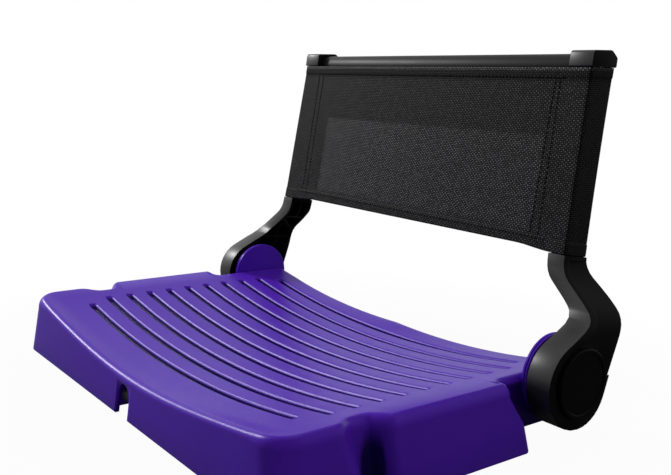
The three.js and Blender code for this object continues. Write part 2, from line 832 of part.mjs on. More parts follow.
function armBlade() {
  const untilHead = block(bladeTopInner / 2, 2 * barrelOuter, -armReach, 2 * armReach, 0, rise);
  return armSlab(flushSling, innerEdge(flushSling), outerEdge(-flushSling))
    .intersect(besideHem(-2 * runningGap, 1))
    .intersect(untilHead);
}

// The head carries the crossbar's end and stands inside the top cap
function armHead() {
  const front = frontAtTop() + capWall + runningGap;
  const back = armReach - capWall - runningGap;
  return block(
    bladeTopInner + capWall + runningGap,
    bladeTopInner + bladeTopWidth - capWall - runningGap,
    front,
    back,
    rise - capWall,
    rise + armHeadHeight,
  );
}

function frontAtTop() {
  return bladeTopShare * armReach;
}

function arm() {
  const tubeHole = rodX(
    tubeRadius + runningGap,
    bladeTopInner - cutOverrun,
    bladeTopInner + bladeTopWidth - tubeEndWall,
  ).translate([0, tubeReach, tubeZ]);
  const outer = bladeTopInner + bladeTopWidth;
  const screwHole = rodX(plugScrewRadius + slideFit, bladeTopInner, outer, 16)
    .add(rodX(screwHeadRadius + slideFit, headSeat(), outer, 20))
    .translate([0, tubeReach, tubeZ]);
  const bore = rodX(barrelBore, barrelInner - cutOverrun, barrelOuter + cutOverrun);
  const washerSeat = rodX(washerRadius + slideFit, axleEnd - washerThickness, barrelOuter + cutOverrun);
  const slot = arcSegment(
    lugMiddleRadius - lugHalfWidth - slotClearance,
    lugMiddleRadius + lugHalfWidth + slotClearance,
    lugAngle - lugHalfAngle - foldAngle - stopPlay,
    lugAngle + lugHalfAngle + stopPlay,
    16,
    barrelInner - cutOverrun,
    earOuter + lugLength + slotClearance,
  );
  return armLower()
    .add(armBlade())
    .add(armHead())
    .subtract(tubeHole)
    .subtract(screwHole)
    .subtract(bore)
    .subtract(washerSeat)
    .subtract(slot);
}

// Where the crossbar screw's head sits in the outer face of the arm's head
function headSeat() {
  return bladeTopInner + bladeTopWidth - capWall - runningGap - screwHeadHeight - runningGap;
}

// Hinge hardware, on the hinge axis

function pivotBush() {
  const inner = axleRadius + slideFit;
  const outer = inner + bushWall;
  const start = earOuter + runningGap;
  return turnedX([
    [inner, start],
    [flangeRadius, start],
    [flangeRadius, start + flangeThickness],
    [outer, start + flangeThickness],
    [outer, axleEnd - washerThickness - runningGap],
    [inner, axleEnd - washerThickness - runningGap],
    [inner, start],
  ]);
}

function pivotWasher() {
  const start = axleEnd + runningGap;
  return ringX(pilotRadius + slideFit, washerRadius, start, start + washerThickness);
}

function pivotScrew() {
  const seat = axleEnd + 2 * runningGap + washerThickness;
  return turnedX([
    [0, seat - pivotShankLength],
    [pilotRadius - slideFit, seat - pivotShankLength],
    [pilotRadius - slideFit, seat],
    [pivotHeadRadius, seat],
    [pivotHeadRadius, seat + pivotHeadHeight / 2],
    [pivotHeadRadius / 2, seat + pivotHeadHeight],
    [0, seat + pivotHeadHeight],
  ], 20);
}

function pivotCap() {
  const start = barrelOuter - capSeatDepth + runningGap;
  const top = start + pivotCapHeight;
  const spigot = washerRadius - slideFit;
  return turnedX([
    [0, start],
    [spigot - spigotWall, start],
    [spigot - spigotWall, start - spigotLength],
    [spigot, start - spigotLength],
    [spigot, start],
    [pivotCapRadius, start],
    [pivotCapRadius, top - pivotCapRecess],
    [pivotCapRadius - pivotCapRecess, top],
    [pivotCapRadius - pivotCapLip, top],
    [pivotCapRadius - pivotCapLip - pivotCapRecess, top - pivotCapRecess],
    [0, top - pivotCapRecess],
  ], 40);
}

// Crossbar, its plugs and screws

function crossbar() {
  const end = bladeTopInner + bladeTopWidth - tubeEndWall - runningGap;
  return ringX(tubeRadius - tubeWall, tubeRadius, -end, end).translate([0, tubeReach, tubeZ]);
}

function crossbarPlug() {
  const end = bladeTopInner + bladeTopWidth - tubeEndWall - runningGap;
  const radius = tubeRadius - tubeWall - runningGap;
  return ringX(plugScrewRadius, radius, end - plugLength, end, 20).translate([0, tubeReach, tubeZ]);
}

function crossbarScrew() {
  const seat = headSeat() + runningGap;
  const tip = seat - tubeEndWall - plugLength / 2;
  return turnedX([
    [0, tip],
    [plugScrewRadius - slideFit, tip],
    [plugScrewRadius - slideFit, seat],
    [screwHeadRadius, seat],
    [screwHeadRadius, seat + screwHeadHeight / 2],
    [screwHeadRadius / 2, seat + screwHeadHeight],
    [0, seat + screwHeadHeight],
  ], 20).translate([0, tubeReach, tubeZ]);
}

// Top caps

function capSide(inset) {
  const front = frontAtTop();
  const foot = rise + capSkirt + runningGap;
  const top = rise + capHeight;
  const corners = [
    { x: front - capProud, y: foot, r: capProud, arc: 2 },
    { x: armReach + capProud, y: foot, r: capProud, arc: 2 },
    { x: armReach + 2 * capProud, y: top - capChamfer, r: capChamfer / 2 },
    { x: armReach - capChamfer, y: top, r: capChamfer, arc: 3 },
    { x: front + capProud, y: top - capProud, r: capChamfer / 2 },
  ];
  return roundedLoop(corners, inset);
}

function topCap() {
  const inner = bladeTopInner - capProud;
  const outer = bladeTopInner + bladeTopWidth + capProud;
  const side = new THREE.Shape(capSide(capProud));
  const bevelled = new THREE.ExtrudeGeometry(side, {
    depth: outer - inner - 2 * capProud,
    bevelThickness: capProud,
    bevelSize: capProud,
    bevelSegments: 2,
    curveSegments: 1,
  });
  const turn = new THREE.Matrix4().makeBasis(
    new THREE.Vector3(0, 1, 0),
    new THREE.Vector3(0, 0, 1),
    new THREE.Vector3(1, 0, 0),
  );
  const body = solidOf(bevelled.applyMatrix4(turn).translate(inner + capProud, 0, 0));
  const front = frontAtTop();
  const cavity = block(
    bladeTopInner + capWall,
    bladeTopInner + bladeTopWidth - capWall,
    front + capWall,
    armReach - capWall,
    rise - cutOverrun,
    rise + armHeadHeight + runningGap,
  );
  const slotReach = tubeRadius + runningGap;
  const tubeSlot = block(
    inner - cutOverrun,
    bladeTopInner + bladeTopWidth / 2,
    tubeReach - slotReach,
    tubeReach + slotReach,
    rise - cutOverrun,
    tubeZ,
  ).add(
    rodX(slotReach, inner - cutOverrun, bladeTopInner + bladeTopWidth / 2).translate([
      0,
      tubeReach,
      tubeZ,
    ]),
  );
  return body.subtract(cavity).subtract(tubeSlot);
}

// Sling and pocket

// A body between a low and a high four-sided outline, each of [x, y, z] in order, counter-clockwise
function loftFour(low, high) {
  const positions = [...low, ...high].flat();
  const faces = [0, 2, 1, 0, 3, 2, 4, 5, 6, 4, 6, 7];
  for (let i = 0; i < 4; i++) {
    const next = (i + 1) % 4;
    faces.push(i, next, next + 4);
    faces.push(i, next + 4, i + 4);
  }
  const geometry = new THREE.BufferGeometry();
  geometry.setAttribute("position", new THREE.Float32BufferAttribute(positions, 3));
  geometry.setIndex(faces);
  return solidOf(geometry);
}

// The arm's outline in the sleeve, at a height above the axis: inner and outer X, front and back Y
function sleeveAt(z) {
  const mix = THREE.MathUtils.lerp;
  const share = (z - jogTop) / (rise - jogTop);
  const lift = (z - bladeFoot) / (rise - bladeFoot);
  return {
    inner: mix(bladeFootInner, bladeTopInner, share),
    outer: mix(bladeFootInner + bladeFootWidth, bladeTopInner + bladeTopWidth, share),
    front: mix(bladeFootShares.front * barrelRadius, frontAtTop(), lift),
    back: mix(bladeFootShares.back * barrelRadius, armReach, lift),
  };
}

function sleeveOutline(z, drop, inset) {
  const fore = sleeveAt(z);
  const aft = sleeveAt(z - drop);
  return [
    [fore.inner - seamInset + 3 * inset, fore.front + inset, z],
    [fore.outer - inset, fore.front + inset, z],
    [aft.outer - inset, aft.back - inset, z - drop],
    [aft.inner + inset / 2, aft.back - inset, z - drop],
  ];
}

function sleeve() {
  const outside = loftFour(sleeveOutline(slingFoot, hemDrop, 0), sleeveOutline(rise, 0, 0));
  const inside = loftFour(
    sleeveOutline(slingFoot - cutOverrun, hemDrop, slingThickness),
    sleeveOutline(rise + cutOverrun, 0, slingThickness),
  );
  return outside.subtract(inside);
}

// A flat sheet between the arms, parallel to the sling's face and set back from it
function sheet(lowHalf, highHalf, low, high, setBack, thickness) {
  const at = (half, z) => {
    const y = sleeveAt(z).front + setBack;
    return [[-half, y, z], [half, y, z], [half, y + thickness, z], [-half, y + thickness, z]];
  };
  return loftFour(at(lowHalf, low), at(highHalf, high));
}

function sling() {
  const right = sleeve();
  const left = solidOf(mirrored(geometryOf(right)));
  const foot = slingFoot + panelLift;
  const lowHalf = sleeveAt(foot).inner;
  const highHalf = sleeveAt(rise).inner;
  const panel = sheet(lowHalf, highHalf, foot, rise, 0, slingThickness);
  const barRoom = rodX(tubeRadius + slingThickness, -bladeTopInner - capWall, bladeTopInner + capWall);
  return panel.add(right).add(left).subtract(barRoom.translate([0, tubeReach, tubeZ]));
}

function rearPocket() {
  const start = slingThickness + runningGap;
  const outside = sheet(
    pocketHalfWidth,
    pocketHalfWidth,
    pocketFoot,
    pocketTop,
    start,
    pocketDepth,
  );
  const half = pocketHalfWidth - slingThickness;
  const inside = sheet(
    half,
    half,
    pocketFoot + slingThickness,
    pocketTop + cutOverrun,
    start - cutOverrun,
    pocketDepth + cutOverrun - slingThickness,
  );
  return outside.subtract(inside);
}

// Bench hook, in a frame whose origin is on its pin

function benchHook() {
  const half = hookWidth / 2;
  const foot = -knuckleRadius;
  const blade = [
    { x: 0, y: foot, r: hookThickness / 4, arc: 1 },
    { x: hookLength, y: foot, r: hookThickness },
    { x: hookLength, y: foot + hookLip + hookThickness, r: hookThickness / 4 },
    { x: hookLength - hookThickness, y: foot + hookLip + hookThickness, r: hookThickness / 4 },
    { x: hookLength - hookThickness, y: foot + hookThickness, r: hookThickness / 2 },
    { x: 0, y: foot + hookThickness, r: hookThickness / 4, arc: 1 },
  ];
  const plate = alongX(roundedLoop(blade), -half, half);
  const knuckle = rodX(knuckleRadius, -half, half);
  const bore = rodX(hookPinRadius + slideFit, -half - cutOverrun, half + cutOverrun, 20);
  return plate.add(knuckle).subtract(bore);
}

function hookPin() {
  const half = channelHalfWidth + ribThickness + 2 * runningGap;
  const edge = hookPinRadius / 4;
  return turnedX([
    [0, -half],
    [hookPinRadius - edge, -half],
    [hookPinRadius, edge - half],
    [hookPinRadius, half - edge],
    [hookPinRadius - edge, half],
    [0, half],
  ], 20);
}

// Assembly

function sidePieces(side) {
  const pieces = [
    pieceOf(`arm_${side}`, arm(), blackPlastic),
    pieceOf(`top_cap_${side}`, topCap(), blackPlastic),
    pieceOf(`pivot_bush_${side}`, pivotBush(), naturalNylon),
    pieceOf(`pivot_washer_${side}`, pivotWasher(), zincSteel),
    pieceOf(`pivot_screw_${side}`, pivotScrew(), zincSteel),
    pieceOf(`pivot_cap_${side}`, pivotCap(), blackPlastic),
    pieceOf(`crossbar_plug_${side}`, crossbarPlug(), blackPlastic),
    pieceOf(`crossbar_screw_${side}`, crossbarScrew(), zincSteel),
  ];
  const group = new THREE.Group();
  group.add(...pieces);
  if (side === "left") {
    pieces.forEach((piece) => {
      piece.geometry = mirrored(piece.geometry);
    });
  }
  return group;
}

const backrest = new THREE.Group();
backrest.add(pieceOf("crossbar", crossbar(), blackSteel));
backrest.add(pieceOf("sling", sling(), blackMesh));
backrest.add(pieceOf("rear_pocket", rearPocket(), blackMesh));
backrest.add(sidePieces("right"));
backrest.add(sidePieces("left"));
backrest.position.set(0, hingeY, hingeHeight);

const hook = new THREE.Group();
hook.add(pieceOf("bench_hook", benchHook(), blackSteel));
hook.add(pieceOf("hook_pin", hookPin(), zincSteel));
hook.position.set(0, hookPinY, hookPinHeight);

const stadiumSeat = new THREE.Group();
stadiumSeat.add(pieceOf("seat_shell", seatShell(), purplePlastic));
stadiumSeat.add(backrest);
stadiumSeat.add(hook);

export default stadiumSeat;
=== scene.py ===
import json
import math

import bmesh
import bpy
from mathutils import Matrix, Vector

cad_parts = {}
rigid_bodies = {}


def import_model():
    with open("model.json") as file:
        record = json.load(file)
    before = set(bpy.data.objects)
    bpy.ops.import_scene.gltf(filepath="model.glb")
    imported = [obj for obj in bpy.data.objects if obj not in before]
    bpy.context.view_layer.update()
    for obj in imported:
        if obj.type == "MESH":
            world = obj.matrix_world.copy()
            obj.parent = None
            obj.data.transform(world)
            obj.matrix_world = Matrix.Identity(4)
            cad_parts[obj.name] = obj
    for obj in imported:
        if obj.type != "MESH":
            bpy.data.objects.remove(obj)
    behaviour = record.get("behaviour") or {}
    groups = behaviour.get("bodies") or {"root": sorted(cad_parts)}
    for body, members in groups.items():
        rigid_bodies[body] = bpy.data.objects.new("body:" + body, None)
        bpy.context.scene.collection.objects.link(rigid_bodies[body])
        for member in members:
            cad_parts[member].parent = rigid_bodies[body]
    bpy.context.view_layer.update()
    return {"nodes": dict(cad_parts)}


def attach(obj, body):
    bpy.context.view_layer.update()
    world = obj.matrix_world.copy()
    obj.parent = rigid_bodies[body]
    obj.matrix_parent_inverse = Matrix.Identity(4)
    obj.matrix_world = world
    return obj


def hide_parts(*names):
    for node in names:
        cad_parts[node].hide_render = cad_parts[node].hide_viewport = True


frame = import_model()
scene = bpy.context.scene
scene.view_settings.view_transform = "Standard"

# The view. The camera stands where the photograph was taken from: in front of the seat, to the right of
# it and a little above, so close that the bench side runs out of the picture at the bottom. Its place
# and its range are in metres, its lens and sensor in millimetres.
camera_place = Vector((0.59205, -0.41783, 0.2535))
azimuth, elevation, roll = math.radians(52.43), math.radians(10.0), math.radians(1.72)
lens_mm, sensor_mm = 46.54, 36
nearest_seen, farthest_seen = 0.01, 50
back = Vector(
    (
        math.sin(azimuth) * math.cos(elevation),
        -math.cos(azimuth) * math.cos(elevation),
        math.sin(elevation),
    )
)
level = (-back).cross(Vector((0, 0, 1))).normalized()
upward = level.cross(-back)
across = math.cos(roll) * level + math.sin(roll) * upward
upright = math.cos(roll) * upward - math.sin(roll) * level
camera = bpy.data.objects.new("camera", bpy.data.cameras.new("camera"))
turned = Matrix((across, upright, back)).transposed().to_4x4()
camera.matrix_world = Matrix.Translation(camera_place) @ turned
camera.data.lens, camera.data.sensor_width = lens_mm, sensor_mm
camera.data.clip_start, camera.data.clip_end = nearest_seen, farthest_seen
scene.collection.objects.link(camera)
scene.camera = camera


# Seat shell. One injection-moulded shell of purple polypropylene, open underneath: a dished top with
# eleven soft grooves, a rounded rim, skirts down to the bench, a flute in each side, an ear at each rear
# corner and a notch in front for the bench hook. Sizes are in millimetres, from the CAD part.
MM = 0.001
SEAT_FRONT, SEAT_REAR = -163.0, 116.5
HINGE_Y, HINGE_Z = 88.8, 47.0
PLATE, WALL = 5.0, 3.5

# The deck: its height at the sides and the depth of its dish, then its small lifts along the front edge
# and in the middle of the rear edge, and over what length each comes in.
DECK_HALF, DECK_SIDE_Z, DISH_DEPTH = 205, 52.9, 22.1
FRONT_LIFT, FRONT_LIFT_ASIDE, FRONT_LIFT_RUN = 1.2, 10, 24
REAR_LIFT, REAR_LIFT_HALF, REAR_LIFT_CURVE, REAR_LIFT_RUN = 4.4, 150, 1.5, 32

# The grooves: their places and lengths, then the steep wall in front, and behind the flat floor a step,
# a slope and the round of the lip. The first and the last groove are shorter.
GROOVES, GROOVE_FIRST, GROOVE_PITCH = 11, 45.3, 20.81
GROOVE_DEPTH, GROOVE_HALF_WIDTH = 3.4, 4.0
GROOVE_REACH, END_GROOVE_REACH, GROOVE_END_RUN = 178, 167, 3.2
FRONT_WALL_RUN, BACK_STEP_RUN = 1.5, 0.5
LIP_ROUND, LIP_CURVE, LIP_RUN, LIP_SLOPE = 0.9, 0.6, 0.8, 1.1
LIP_DEPTH = LIP_CURVE * LIP_ROUND**2 + LIP_SLOPE * LIP_RUN

# The outline: half widths at the front, at the rear, inside the flutes and behind the step that leaves
# room for the arms, how far the walls lean in up to the rim, and where the flutes and that step are.
FRONT_HALF, REAR_HALF, FLUTE_HALF, CORNER_HALF = 212, 218.8, 199, 200
SIDE_DRAFT, FRONT_DRAFT = 4, 3
FLUTE_AT, STEP_AHEAD, STEP_SWEEP = 70, 37.1, 19
TIGHTEST_BEND = 0.3

# The rim is a quarter round that reaches further down at the sides. The skirt's foot is rounded too (its
# inset and height), and between the hinges it stands clear of the bench.
TOP_FILLET, RIM_STEPS = 6.6, 9
RIM_DROP, RIM_DROP_ASIDE, RIM_DROP_FROM, RIM_DROP_RUN = 5.4, 4.6, 167, 30
FOOT_ROUND = ((0.6, 0.0), (0.15, 0.2), (0.0, 0.8))
REAR_SKIRT_FROM, REAR_SKIRT_HALF, REAR_SKIRT_Z = 55.4, 206, 9.7

# Rows of points: across each groove from its middle, behind the front edge and ahead of the rear edge,
# and the least distance that a row keeps from an outline point and from the row before it.
GROOVE_ROWS = (-4.6, -4, -3.7, -3.4, -3.1, -2.8, -2.5, -0.5, 1.5, 1.8)
GROOVE_ROWS += (1.92, 2.05, 2.18, 2.3, 2.7, 3.1, 3.4, 3.7, 4.1)
FRONT_ROWS, REAR_ROWS = (11, 13.5, 16, 19, 22, 26, 30, 35), (17, 14, 11, 8)
ROW_CLEARANCE, ROW_STEP = 0.12, 0.25
# Columns of points to the right of the middle, close together where the grooves end.
HALF_COLUMNS = [i * 13.0 for i in range(13)] + [158 + 1.6 * i for i in range(15)] + [184, 188, 192]


def eased(value):
    """A smooth step from 0 to 1."""
    t = min(max(value, 0.0), 1.0)
    return t * t * (3 - 2 * t)


def seat_top(x, y):
    """Height of the deck, without its grooves."""
    front = eased((SEAT_FRONT + FRONT_LIFT_RUN - y) / FRONT_LIFT_RUN)
    rear = eased((y - SEAT_REAR + REAR_LIFT_RUN) / REAR_LIFT_RUN)
    side = min((x / DECK_HALF) ** 2, 1)
    inward = max(1 - abs(x) / REAR_LIFT_HALF, 0)
    dish = DECK_SIDE_Z - DISH_DEPTH * (1 - side)
    front_lift = front * (1 - side) * (FRONT_LIFT + FRONT_LIFT_ASIDE * side)
    return dish + front_lift + rear * REAR_LIFT * inward**REAR_LIFT_CURVE


def groove_dip(x, y):
    """Depth of the grooves: a steep front wall, a flat floor and a sloping lip at the back."""
    place = (y - SEAT_FRONT - GROOVE_FIRST) / GROOVE_PITCH
    nearest = min(max(round(place), 0), GROOVES - 1)
    reach = END_GROOVE_REACH if nearest in (0, GROOVES - 1) else GROOVE_REACH
    aside = (place - nearest) * GROOVE_PITCH
    if aside < 0:
        depth = GROOVE_DEPTH * eased((GROOVE_HALF_WIDTH + aside) / FRONT_WALL_RUN)
    else:
        inside = max(GROOVE_HALF_WIDTH - aside, 0)
        depth = LIP_CURVE * min(inside, LIP_ROUND) ** 2
        depth += LIP_SLOPE * min(max(inside - LIP_ROUND, 0), LIP_RUN)
        depth += (GROOVE_DEPTH - LIP_DEPTH) * eased((inside - LIP_ROUND - LIP_RUN) / BACK_STEP_RUN)
    return depth * eased((reach - abs(x)) / GROOVE_END_RUN)


def shell_corners(rise):
    """The plan outline at the bench (rise 0) or at the top of the walls (rise 1): x, y, radius, arc steps.

    Towards the rim the flute opens forward, its corners get rounder and the step moves forward."""
    front_x, rear_x = FRONT_HALF - SIDE_DRAFT * rise, REAR_HALF - SIDE_DRAFT * rise
    flute_y = SEAT_FRONT + FLUTE_AT
    step_y = HINGE_Y - STEP_AHEAD - STEP_SWEEP * rise * rise
    right = [
        (front_x, SEAT_FRONT + FRONT_DRAFT * rise, 15 + 7 * rise, 9),
        (front_x, flute_y - 17 * rise, 6.5 + 13.5 * rise, 6),
        (FLUTE_HALF, flute_y + 6 - 11 * rise, 4 + 8 * rise, 5),
        (FLUTE_HALF, flute_y + 13 - 6 * rise, 4, 5),
        (rear_x, flute_y + 19 - 4 * rise, 6.5, 5),
        (rear_x, step_y, 6.5, 6),
        (CORNER_HALF, step_y, 5, 5),
        (CORNER_HALF, SEAT_REAR, 12, 7),
    ]
    return right + [(-x, y, r, n) for x, y, r, n in reversed(right)]


def rounded_outline(corners, inset):
    """The arc of each corner of a closed outline whose every side is moved inward by inset."""
    arcs = []
    for i, (x, y, radius, steps) in enumerate(corners):
        before = (Vector((x, y)) - Vector(corners[i - 1][:2])).normalized()
        after = (Vector(corners[(i + 1) % len(corners)][:2]) - Vector((x, y))).normalized()
        turn = math.atan2(before.x * after.y - before.y * after.x, before.dot(after))
        inward = Vector((-before.y, before.x))
        sum_inward = inward + Vector((-after.y, after.x))
        tip = Vector((x, y)) + sum_inward * (2 * inset / sum_inward.length_squared)
        bend = max(radius - math.copysign(inset, turn), TIGHTEST_BEND)
        start = tip - before * bend * math.tan(abs(turn) / 2)
        centre = start + inward * math.copysign(bend, turn)
        spoke = start - centre
        spin = [Matrix.Rotation(turn * k / steps, 2) for k in range(steps + 1)]
        arcs.append([centre + m @ spoke for m in spin])
    return arcs


def shell_rows():
    """Where rows of points cross the straight stretches of the right side, as shares of each stretch."""
    first = SEAT_FRONT + GROOVE_FIRST
    wanted = [first + i * GROOVE_PITCH + d for i in range(GROOVES) for d in GROOVE_ROWS]
    wanted += [first + (i + 0.5) * GROOVE_PITCH for i in range(GROOVES - 1)]
    wanted += [SEAT_FRONT + d for d in FRONT_ROWS] + [SEAT_REAR - d for d in REAR_ROWS]
    reference = shell_side(1, TOP_FILLET)
    shares = []
    for a, b in zip(reference, reference[1:]):
        low, high = a.y + ROW_CLEARANCE, b.y - ROW_CLEARANCE
        shares.append([(y - a.y) / (b.y - a.y) for y in sorted(wanted) if low < y < high])
    return shares


def shell_side(rise, inset, shares=None):
    """The right side's outline from front to rear; shares add the points where rows of the top cross it."""
    corners = shell_corners(rise)
    arcs = rounded_outline(corners, inset)[: len(corners) // 2]
    points = [p for arc in arcs for p in arc]
    if shares is None:
        return points
    full = points[:1]
    for a, b, between in zip(points, points[1:], shares):
        full += [a.lerp(b, s) for s in between] + [b]
    return full


def shell_grid(mesh, side, columns, height):
    """A sheet of points between the two sides, at height(x, y); its rows keep clear of each other."""
    rows, last = [], side[0].y - 1
    for p in side:
        last = max(p.y, last + ROW_STEP)
        line = []
        for x in columns:
            inner = abs(x) < columns[-2] + 1 and p is not side[0]
            place = (x, last) if inner else (x * p.x / columns[-1], p.y)
            line.append(mesh.verts.new((*place, height(*place))))
        rows.append(line)
    for a, b in zip(rows, rows[1:]):
        for i in range(len(columns) - 1):
            mesh.faces.new((a[i], a[i + 1], b[i + 1], b[i]))
    right, left = [r[-1] for r in rows], [r[0] for r in rows]
    return rows[0] + right[1:] + rows[-1][-2::-1] + left[-2:0:-1]


def shell_ring(mesh, side, columns, height):
    """The same points round the outline as a grid's border has, moved out or in."""
    share = [x / columns[-1] for x in columns]
    front = [Vector((s * side[0].x, side[0].y)) for s in share]
    rear = [Vector((-s * side[-1].x, side[-1].y)) for s in share]
    left = [Vector((-p.x, p.y)) for p in reversed(side)]
    points = front + side[1:] + rear[1:] + left[1:-1]
    return [mesh.verts.new((p.x, p.y, height(p))) for p in points]


def skin(mesh, a, b):
    """Faces between two closed rings that have the same number of points."""
    for i in range(len(a)):
        j = (i + 1) % len(a)
        mesh.faces.new((a[i], a[j], b[j], b[i]))


def shell_walls_and_top():
    """The whole shell: deck and underside as sheets, joined by rings round the rim, walls and foot."""
    shares = shell_rows()
    columns = [-x for x in HALF_COLUMNS[:0:-1]] + HALF_COLUMNS
    mesh = bmesh.new()

    def ring(rise, inset, height):
        return shell_ring(mesh, shell_side(rise, inset, shares), columns, height)

    def foot(p, up=0.0):
        lifted = p.y > REAR_SKIRT_FROM and abs(p.x) < REAR_SKIRT_HALF
        return (REAR_SKIRT_Z if lifted else 0.0) + up

    def top_at(p, down):
        return seat_top(p.x, p.y) - down

    def drop(p):
        return RIM_DROP + RIM_DROP_ASIDE * eased((abs(p.x) - RIM_DROP_FROM) / RIM_DROP_RUN)

    outer = [ring(0, inset, lambda p, up=up: foot(p, up)) for inset, up in FOOT_ROUND]
    outer.append(ring(0.5, 0, lambda p: (foot(p) + top_at(p, drop(p))) / 2))
    for k in range(RIM_STEPS):
        angle = k * math.pi / (2 * RIM_STEPS)
        inset = TOP_FILLET * (1 - math.cos(angle))
        outer.append(ring(1, inset, lambda p, s=math.sin(angle): top_at(p, drop(p) * (1 - s))))
    inset_side = shell_side(1, TOP_FILLET, shares)
    top = shell_grid(mesh, inset_side, columns, lambda x, y: seat_top(x, y) - groove_dip(x, y))
    below = shell_grid(mesh, inset_side, columns, lambda x, y: seat_top(x, y) - PLATE)
    under_rim = PLATE + TOP_FILLET - WALL
    inner = [ring(1, WALL, lambda p: top_at(p, under_rim)), ring(0, WALL, foot)]
    chain = [*outer, top]
    for a, b in zip(chain, chain[1:]):
        skin(mesh, a, b)
    for a, b in zip([below, *inner], [*inner, outer[0]]):
        skin(mesh, a, b)
    bmesh.ops.recalc_face_normals(mesh, faces=mesh.faces)
    return mesh


def piece_from(name, mesh, crease=35):
    """An object from a mesh in millimetres, smooth except at edges sharper than crease degrees."""
    data = bpy.data.meshes.new(name)
    mesh.to_mesh(data)
    mesh.free()
    data.transform(Matrix.Scale(MM, 4))
    data.polygons.foreach_set("use_smooth", [True] * len(data.polygons))
    data.set_sharp_from_angle(angle=math.radians(crease))
    made = bpy.data.objects.new(name, data)
    scene.collection.objects.link(made)
    return made


def cut_away(target, cutter):
    """Takes the cutter's form out of a piece, for good."""
    change = target.modifiers.new("cut", "BOOLEAN")
    change.operation, change.solver, change.object = "DIFFERENCE", "EXACT", cutter
    bpy.context.view_layer.update()
    graph = bpy.context.evaluated_depsgraph_get()
    data = bpy.data.meshes.new_from_object(target.evaluated_get(graph))
    target.modifiers.clear()
    target.data = data
    bpy.data.objects.remove(cutter)


# The notch for the bench hook: a round arch through the front skirt. Its cutter stands out on all sides.
NOTCH_HALF, NOTCH_SPRING_Z, CUTTER_PROUD, ARCH_STEPS = 11, 14.4, 3, 16
notch = bmesh.new()
arch = [(-NOTCH_HALF, -CUTTER_PROUD), (NOTCH_HALF, -CUTTER_PROUD)]
for k in range(ARCH_STEPS + 1):
    a = k * math.pi / ARCH_STEPS
    arch.append((NOTCH_HALF * math.cos(a), NOTCH_SPRING_Z + NOTCH_HALF * math.sin(a)))
front_face = [notch.verts.new((x, SEAT_FRONT - CUTTER_PROUD, z)) for x, z in arch]
back_face = [notch.verts.new((x, SEAT_FRONT + WALL + CUTTER_PROUD, z)) for x, z in arch]
skin(notch, front_face, back_face)
notch.faces.new(front_face)
notch.faces.new(back_face)
bmesh.ops.recalc_face_normals(notch, faces=notch.faces)
shell = piece_from("seat_moulding", shell_walls_and_top())
cut_away(shell, piece_from("notch", notch))

# Painted shade. The grooves, the flutes and the recesses ahead of the hinges lie out of the light, more
# than the soft lamps here show, so their shade is painted into the purple's colour. Each point keeps its
# share of painted shade in an attribute, which the purple's colour reads. The fades are from where and
# over how far it comes in: inward, then rearward from the front edge in the flute, then down from the deck.
FLUTE_SHADE, FLUTE_SHADE_FROM, FLUTE_SHADE_TO = 0.9, 54, 96
FLUTE_INWARD, FLUTE_REARWARD, FLUTE_DOWN = (216, 11), (66, 12), (3, 15)
RECESS_SHADE, RECESS_SHADE_AHEAD, RECESS_INWARD, RECESS_DOWN = 0.6, 58, (212, 11), (2, 5)
WALL_FROM_X, WALL_BELOW, DIP_LEAST, DIP_NEAR = 198.5, 2, 0.02, 0.4
painted_shade = shell.data.attributes.new("painted_shade", "FLOAT", "POINT")
for vertex, shade in zip(shell.data.vertices, painted_shade.data):
    x, y, z = vertex.co / MM
    dip = groove_dip(x, y)
    below = seat_top(x, y) - z
    on_wall = abs(x) > WALL_FROM_X and below > WALL_BELOW
    if dip > DIP_LEAST and abs(below - dip) < DIP_NEAR:
        shade.value = dip / GROOVE_DEPTH
    elif on_wall and SEAT_FRONT + FLUTE_SHADE_FROM < y < SEAT_FRONT + FLUTE_SHADE_TO:
        inward = eased((FLUTE_INWARD[0] - abs(x)) / FLUTE_INWARD[1])
        rearward = eased((y - SEAT_FRONT - FLUTE_REARWARD[0]) / FLUTE_REARWARD[1])
        shade.value = FLUTE_SHADE * inward * rearward * eased((below - FLUTE_DOWN[0]) / FLUTE_DOWN[1])
    elif on_wall and y > HINGE_Y - RECESS_SHADE_AHEAD:
        inward = eased((RECESS_INWARD[0] - abs(x)) / RECESS_INWARD[1])
        shade.value = RECESS_SHADE * inward * eased((below - RECESS_DOWN[0]) / RECESS_DOWN[1])

# Under the deck: two long ribs beside the hook's channel, with a boss on each for the hook's pin, and two
# ribs across. All are moulded with the shell and reach a little way into its plate.
RIB_HALF, RIB_BITE = 1.3, 1
CHANNEL_X, CHANNEL_FROM, CHANNEL_LENGTH, CHANNEL_FOOT_Z, CHANNEL_STEPS = 13.3, 3.3, 212.7, 4.3, 24
CROSS_RIBS, CROSS_RIB_REACH, CROSS_RIB_DEPTH, CROSS_RIB_STEPS = (104, 168), 213, 9, 40
BOSS_INNER, BOSS_OUTER, BOSS_RADIUS, BOSS_SIDES = 8.3, 14.6, 6, 24
HOOK_PIN_Y, HOOK_PIN_Z = -151.3, 14


def under_plate_rib(mesh, points, along_x, foot):
    """A rib under the plate: its top follows the plate's lower face, its foot is at foot(x, y)."""
    lines = []
    for x, y in points:
        top = seat_top(x, y) - PLATE + RIB_BITE
        offsets = (-RIB_HALF, RIB_HALF)
        places = [(x, y + d) if along_x else (x + d, y) for d in offsets]
        lines.append(
            [mesh.verts.new((*places[0], foot(x, y))), mesh.verts.new((*places[1], foot(x, y)))]
            + [mesh.verts.new((*places[1], top)), mesh.verts.new((*places[0], top))]
        )
    for a, b in zip(lines, lines[1:]):
        skin(mesh, a, b)
    mesh.faces.new(lines[0])
    mesh.faces.new(lines[-1])
    bmesh.ops.recalc_face_normals(mesh, faces=mesh.faces)


